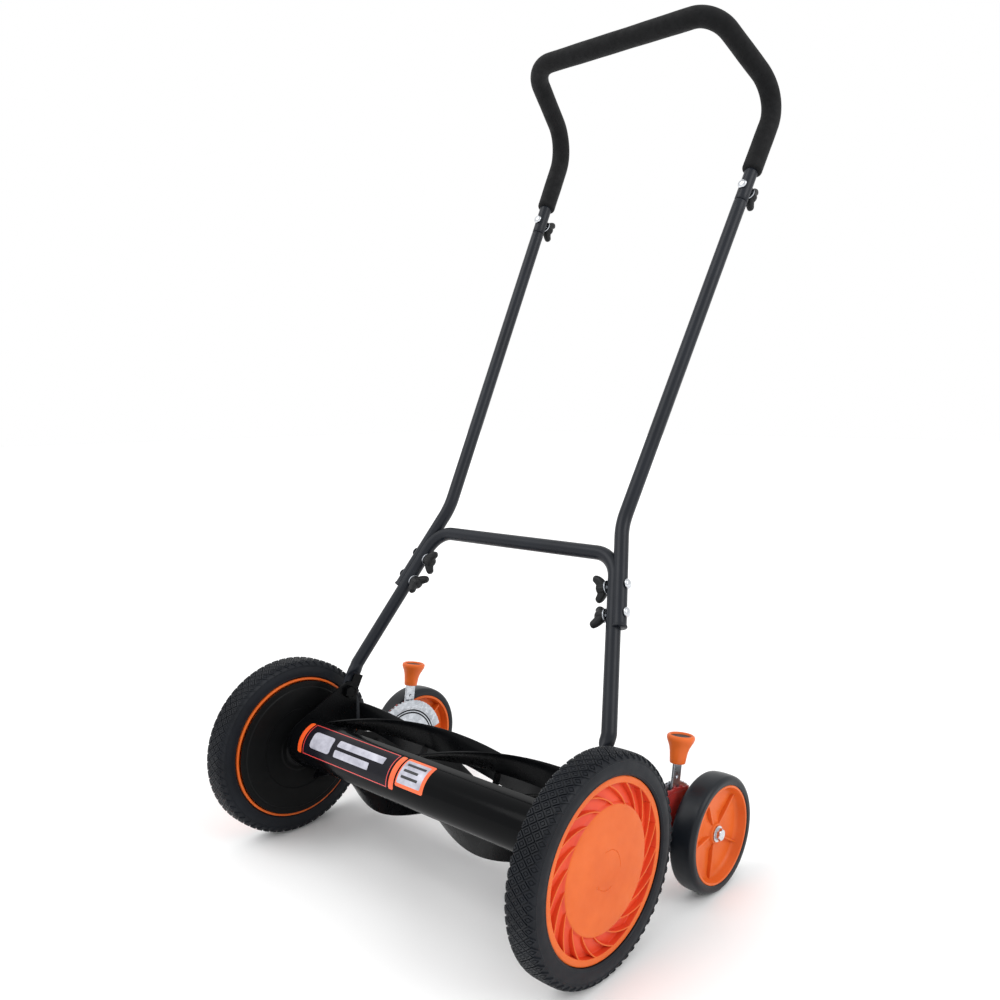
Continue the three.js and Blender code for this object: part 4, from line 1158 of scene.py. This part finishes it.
shaft_low, shaft_high = box_mm("reel_shaft")
Build().add(revolve(fillet([(shaft_low.x, 0), (shaft_low.x, 8, 1), (shaft_high.x, 8, 1), (shaft_high.x, 0)]),
                    REEL, 48)).finish("reel_shaft_turned", "reel", "bare_steel", [STEEL_BLACK],
                                      nodes=("reel_shaft",))
for side, _ in SIDES:
    frame["nodes"][f"pinion_{side}"].data.materials.clear()
    frame["nodes"][f"pinion_{side}"].data.materials.append(STEEL)

# ------------------------------------------------------------------ handle

TUBE_R = 19.05 / 2
FOAM_R = 14.6
LEG_X, LEG_BEND, LEG_SLOPE, LEG_CORNER = 236, 42.5, -0.313, 263
FOOT_X = 237.5
MID_END, MID_OFFSET, MID_BEND, MID_BEND_X, SEAM, SEAM_X = 170.5, 8.9, 304, 161.6, 801, 189.7
LOWER_BOLTS = (186, 222)
UPPER_BOLT = 823
FOAM_START = 851


def leg_x(s):
    return LEG_X + LEG_SLOPE * (s - LEG_BEND)


def upper_run(s):
    return handle_point(MID_BEND_X + (s - MID_BEND) * (SEAM_X - MID_BEND_X) / (SEAM - MID_BEND), s)


OUTWARD = (Vector((1, 0, 0)) - UP * LEG_SLOPE).normalized()


def lower_handle():
    """One bent tube across, each end pressed flat round the fold bolt."""
    half_foot, half_thick = 11, 2.2
    corner_x = leg_x(LEG_CORNER)
    feet = [-10.99, -10.8, -10.2, -9, -7, -4, 0, 6, 12, 18, 24, 28, 31, 34, 37]
    left = [handle_point(FOOT_X + (LEG_X - FOOT_X) * smooth((s - 20) / 16), s) for s in feet]
    right = [Vector((-p.x, p.y, p.z)) for p in reversed(left)]
    leg = [(LEG_X, 38), (LEG_X, LEG_BEND + 1), (corner_x, LEG_CORNER)]
    route = [handle_point(x, s) for x, s in leg] + [handle_point(-x, s) for x, s in reversed(leg)]
    middle = bent(route, [16, 42, 42, 16])
    points = left + middle + right

    def up_leg(p):
        return (p - Vector((p.x, FOLD.y, FOLD.z))).dot(UP)

    verts = []
    count = 48
    tangents = [t for t, _, _ in frames(points)]
    last = len(points) - 1
    for i, p in enumerate(points):
        flat = tangents[i].cross(BACK).normalized()
        s = up_leg(p)
        blend = smooth((s - 22) / 16) if i < len(left) or i > last - len(right) else 1.0
        wide = half_foot if s >= 0 else sqrt(max(0.2, half_foot ** 2 - s * s))
        a = wide + (TUBE_R - wide) * blend
        b = half_thick + (TUBE_R - half_thick) * blend
        power = 2 / (2 + 3.0 * (1 - blend))
        verts += [p + BACK * u + flat * v for u, v in section(count, a, b, power)]
    return Build().add((verts, skin(len(points), count)))


lower_handle().finish("lower_handle_coated", "handle", "tube_black", [TUBE], nodes=("lower_handle",),
                      sharp=45)


def middle_tube():
    """A small turned lip at the foot, then a plain tube to the seam."""
    start = handle_point(leg_x(MID_END) + MID_OFFSET, MID_END)
    bend = upper_run(MID_BEND)
    points = bent([start, bend, upper_run(SEAM - 0.4)], [90], 16, 16)
    foot = (bend - start).normalized()
    lip = [start + foot * d for d in (0, 0.5, 1.4, 2.4, 3.4, 4.6)]
    top = (points[-1] - points[-2]).normalized()
    neck = [points[-1] - top * d for d in (1.6, 0.9, 0.35, 0)]
    points = lip + [p for p in points[1:-1] if (p - start).length > 6] + neck
    swell = [0.2, 0.75, 0.95, 0.75, 0.25, 0.0]
    shrink = [0.0, -0.25, -0.6, -1.3]

    def size(i):
        extra = swell[i] if i < len(swell) else 0.0
        if i >= len(points) - len(shrink):
            extra = shrink[i - len(points) + len(shrink)]
        return TUBE_R + extra, TUBE_R + extra

    return Build().add(sweep(points, size, 44))


both(middle_tube(), "middle_tube_coated", "handle", "tube_black", [TUBE], nodes=("middle_tube",), sharp=50)


def loop_line(start_s):
    knee = Vector((200.1, AXLE.y + 538.3, 1059.7))
    top = Vector((164, AXLE.y + 415.3, 1148))
    start = upper_run(start_s)
    flip = [Vector((-p.x, p.y, p.z)) for p in (top, knee, start)]
    return bent([start, knee, top, *flip], [55, 45, 45, 55], 18, 8)


def with_ends(points, ends):
    """Swaps the first and last point for the points at distances ends from them."""
    d0 = (points[1] - points[0]).normalized()
    d1 = (points[-1] - points[-2]).normalized()
    first = [points[0] + d0 * d for d in ends]
    return first + points[1:-1] + [points[-1] - d1 * d for d in reversed(ends)]


def end_trim(trim, i, count):
    """The change of radius at point i of count: trim holds it from either end inward."""
    near = min(i, count - 1 - i)
    return trim[near] if near < len(trim) else 0.0


def upper_handle():
    points = with_ends(loop_line(SEAM), (0, 0.35, 0.9, 1.6))
    trim = (-1.3, -0.6, -0.25, 0.0)

    def size(i):
        extra = end_trim(trim, i, len(points))
        return TUBE_R + extra, TUBE_R + extra

    return Build().add(sweep(points, size, 44))


upper_handle().finish("upper_handle_coated", "handle", "tube_black", [TUBE], nodes=("upper_handle",),
                      sharp=50)


def foam_grip():
    """A soft sleeve: rounded ends, and a surface that isn't quite even."""
    points = with_ends(loop_line(FOAM_START), (0, 0.1, 0.5, 1.3, 2.4, 4.0))
    trim = (-4.6, -3.0, -1.7, -0.8, -0.3, 0.0)
    run = lengths(points)

    def size(i):
        extra = end_trim(trim, i, len(points))
        s = run[i]
        uneven = 0.10 * sin(s / 23.0) + 0.08 * sin(s / 9.7 + 1.3) - 0.18
        return FOAM_R + extra + uneven, FOAM_R + extra + uneven * 1.2

    return Build().add(sweep(points, size, 56))


foam = foam_grip().finish("foam_sleeve", "handle", "grip_foam", [FOAM], nodes=("foam_grip",), sharp=70)

# ------------------------------------------------------------------ handle bolts and wing knobs


def carriage_bolt(length):
    """Domed head at the seat, then the shank, along local X."""
    dome = fillet([(-4.15, 0), (-4.0, 2.6, 2), (-3.1, 5.2, 2), (-1.4, 6.6, 1.5), (-0.3, 6.8, 0.3), (-0.3, 3),
                   (length - 0.6, 3), (length, 2.4), (length, 0)], 4)
    return revolve(dome, ORIGIN, 40)


WING_SPINE = [(6.8, 0, 6.2, 6.0), (8.6, 5.0, 6.4, 5.9), (10.6, 8.6, 6.0, 5.6), (12.9, 11.3, 5.5, 5.2),
              (15.4, 13.2, 5.0, 4.8), (17.4, 14.3, 4.2, 4.1), (18.6, 14.9, 2.6, 2.6)]


def wing_knob():
    """Ribbed hub with two thick, flared wings; a plated washer at the seat."""
    sides = 72
    hub_line = [(1.5, 7.8), (2.2, 8.6), (10, 8.4), (13.0, 7.7), (14.4, 6.4), (15.0, 3.8), (15.0, 0)]
    verts, faces = revolve([(1.5, 0)] + hub_line, ORIGIN, sides)
    ridged = []
    for x, y, z in verts:
        r = hypot(y, z)
        if r > 6.5 and 2 < x < 12:
            angle = atan2(z, y)
            k = (r - 0.35 + 0.35 * cos(angle * 12)) / r
            y, z = y * k, z * k
        ridged.append((x, y, z))
    build = Build().add((ridged, faces), 0)
    for sign in (1, -1):
        stations = [(Vector((px, sign * py, 0)), wide, deep) for px, py, wide, deep in WING_SPINE]
        fine = []
        sizes = []
        for a, b in zip(stations, stations[1:]):
            for k in range(4):
                t = k / 4
                fine.append(a[0].lerp(b[0], t))
                sizes.append((a[1] + (b[1] - a[1]) * t, a[2] + (b[2] - a[2]) * t))
        fine.append(stations[-1][0])
        sizes.append(stations[-1][1:])
        ring_verts = []
        count = 28
        for i, p in enumerate(fine):
            ahead = fine[min(i + 1, len(fine) - 1)] - fine[max(i - 1, 0)]
            tangent = ahead.normalized()
            across = Vector((-tangent.y, tangent.x, 0))
            wide, deep = sizes[i]
            ring_verts += [p + across * u + Vector((0, 0, v)) for u, v in section(count, wide, deep, 0.75)]
        build.add((ring_verts, skin(len(fine), count)), 0)
    build.add(washer(0.0, 1.4, 3.2, 9.0, ORIGIN), 1)
    return build


LOWER_HEAD = MID_OFFSET / hypot(1, LEG_SLOPE) + TUBE_R
KNOB_SEAT = TUBE_R + 0.8
LOWER_TURNS = (0.5, -0.35)
KNOB = wing_knob()
for i, s in enumerate(LOWER_BOLTS):
    centre = handle_point(leg_x(s), s)
    inward = -OUTWARD
    bolt = Build().add(carriage_bolt(LOWER_HEAD + KNOB_SEAT + 8), 0,
                       basis(centre + OUTWARD * (LOWER_HEAD + 0.3), inward, BACK))
    both(bolt, f"lower_bolt_plated_{i + 1}", "handle", "zinc", [BOLT], nodes=(f"lower_joint_bolt_{i + 1}",),
         sharp=40)
    turned_up = Matrix.Rotation(LOWER_TURNS[i], 3, inward) @ BACK
    place = basis(centre + inward * KNOB_SEAT, inward, turned_up)
    knob = KNOB.copy(lambda v: place @ v)
    both(knob, f"lower_knob_moulded_{i + 1}", "handle", "black_plastic", [PLASTIC, ZINC],
         nodes=(f"lower_wing_knob_{i + 1}",), sharp=40)
bolt = Build().add(carriage_bolt(TUBE_R + KNOB_SEAT + 8), 0,
                   basis(upper_run(UPPER_BOLT) - BACK * (TUBE_R + 0.3), BACK, UP))
both(bolt, "upper_bolt_plated", "handle", "zinc", [BOLT], nodes=("upper_joint_bolt",), sharp=40)
place = basis(upper_run(UPPER_BOLT) + BACK * KNOB_SEAT, BACK, Vector((1, 0, 0)))
knob = KNOB.copy(lambda v: place @ v)
both(knob, "upper_knob_moulded", "handle", "black_plastic", [PLASTIC, ZINC], nodes=("upper_wing_knob",),
     sharp=40)

# ------------------------------------------------------------------ camera, floor and light

YAW, PITCH, ROLL = 0.696, -0.142, -0.004
FOCAL_PX, CENTRE_X, CENTRE_Y, IMAGE = 912.464, 563.01, 533.324, 1000
EYE = Vector((852.733, AXLE.y - 733.572, 623.189)) * MM

forward = Vector((-sin(YAW) * cos(PITCH), cos(YAW) * cos(PITCH), sin(PITCH)))
level = Vector((cos(YAW), sin(YAW), 0))
upright = level.cross(forward)
right = level * cos(ROLL) + upright * sin(ROLL)
above = upright * cos(ROLL) - level * sin(ROLL)
camera_data = bpy.data.cameras.new("camera")
camera_data.sensor_width = 36
camera_data.lens = FOCAL_PX * 36 / IMAGE
camera_data.shift_x = (IMAGE / 2 - CENTRE_X) / IMAGE
camera_data.shift_y = (CENTRE_Y - IMAGE / 2) / IMAGE
camera_data.clip_end = 60
camera = bpy.data.objects.new("camera", camera_data)
camera.matrix_world = Matrix((right, above, -forward)).transposed().to_4x4()
camera.location = EYE
bpy.context.scene.collection.objects.link(camera)
bpy.context.scene.camera = camera


def floor_material():
    material, tree, shader = nodes_of("studio_floor")
    tint = ramp(tree, noise(tree, 1.5, 2.0), [(0.2, grey(0.93)), (0.8, grey(0.96))])
    tree.links.new(tint, shader.inputs["Base Color"])
    shader.inputs["Roughness"].default_value = 0.9
    shader.inputs["Specular IOR Level"].default_value = 0.1
    return material


floor_mesh = bpy.data.meshes.new("studio_floor")
HALF_FLOOR = 14
corners = [(x * HALF_FLOOR, y * HALF_FLOOR, 0) for x, y in ((-1, -1), (1, -1), (1, 1), (-1, 1))]
floor_mesh.from_pydata(corners, [], [(0, 1, 2, 3)])
floor_mesh.materials.append(floor_material())
floor = bpy.data.objects.new("studio_floor", floor_mesh)
floor.location.z = -0.0005
bpy.context.scene.collection.objects.link(floor)

world = bpy.data.worlds.new("studio")
bpy.context.scene.world = world
world.use_nodes = True
world.node_tree.nodes["Background"].inputs["Color"].default_value = (1.0, 1.0, 1.0, 1)
world.node_tree.nodes["Background"].inputs["Strength"].default_value = 1.0


def sun(name, toward, strength, softness):
    """A wide, soft light from the direction toward."""
    data = bpy.data.lights.new(name, "SUN")
    data.energy = strength
    data.angle = softness
    obj = bpy.data.objects.new(name, data)
    obj.rotation_euler = (-Vector(toward)).to_track_quat("-Z", "Y").to_euler()
    bpy.context.scene.collection.objects.link(obj)


sun("key", (-0.45, -0.75, 1.0), 0.9, 0.7)
sun("side", (1.0, 0.15, 0.7), 0.9, 0.6)

bpy.context.scene.view_settings.view_transform = "Standard"
bpy.context.scene.view_settings.look = "None"
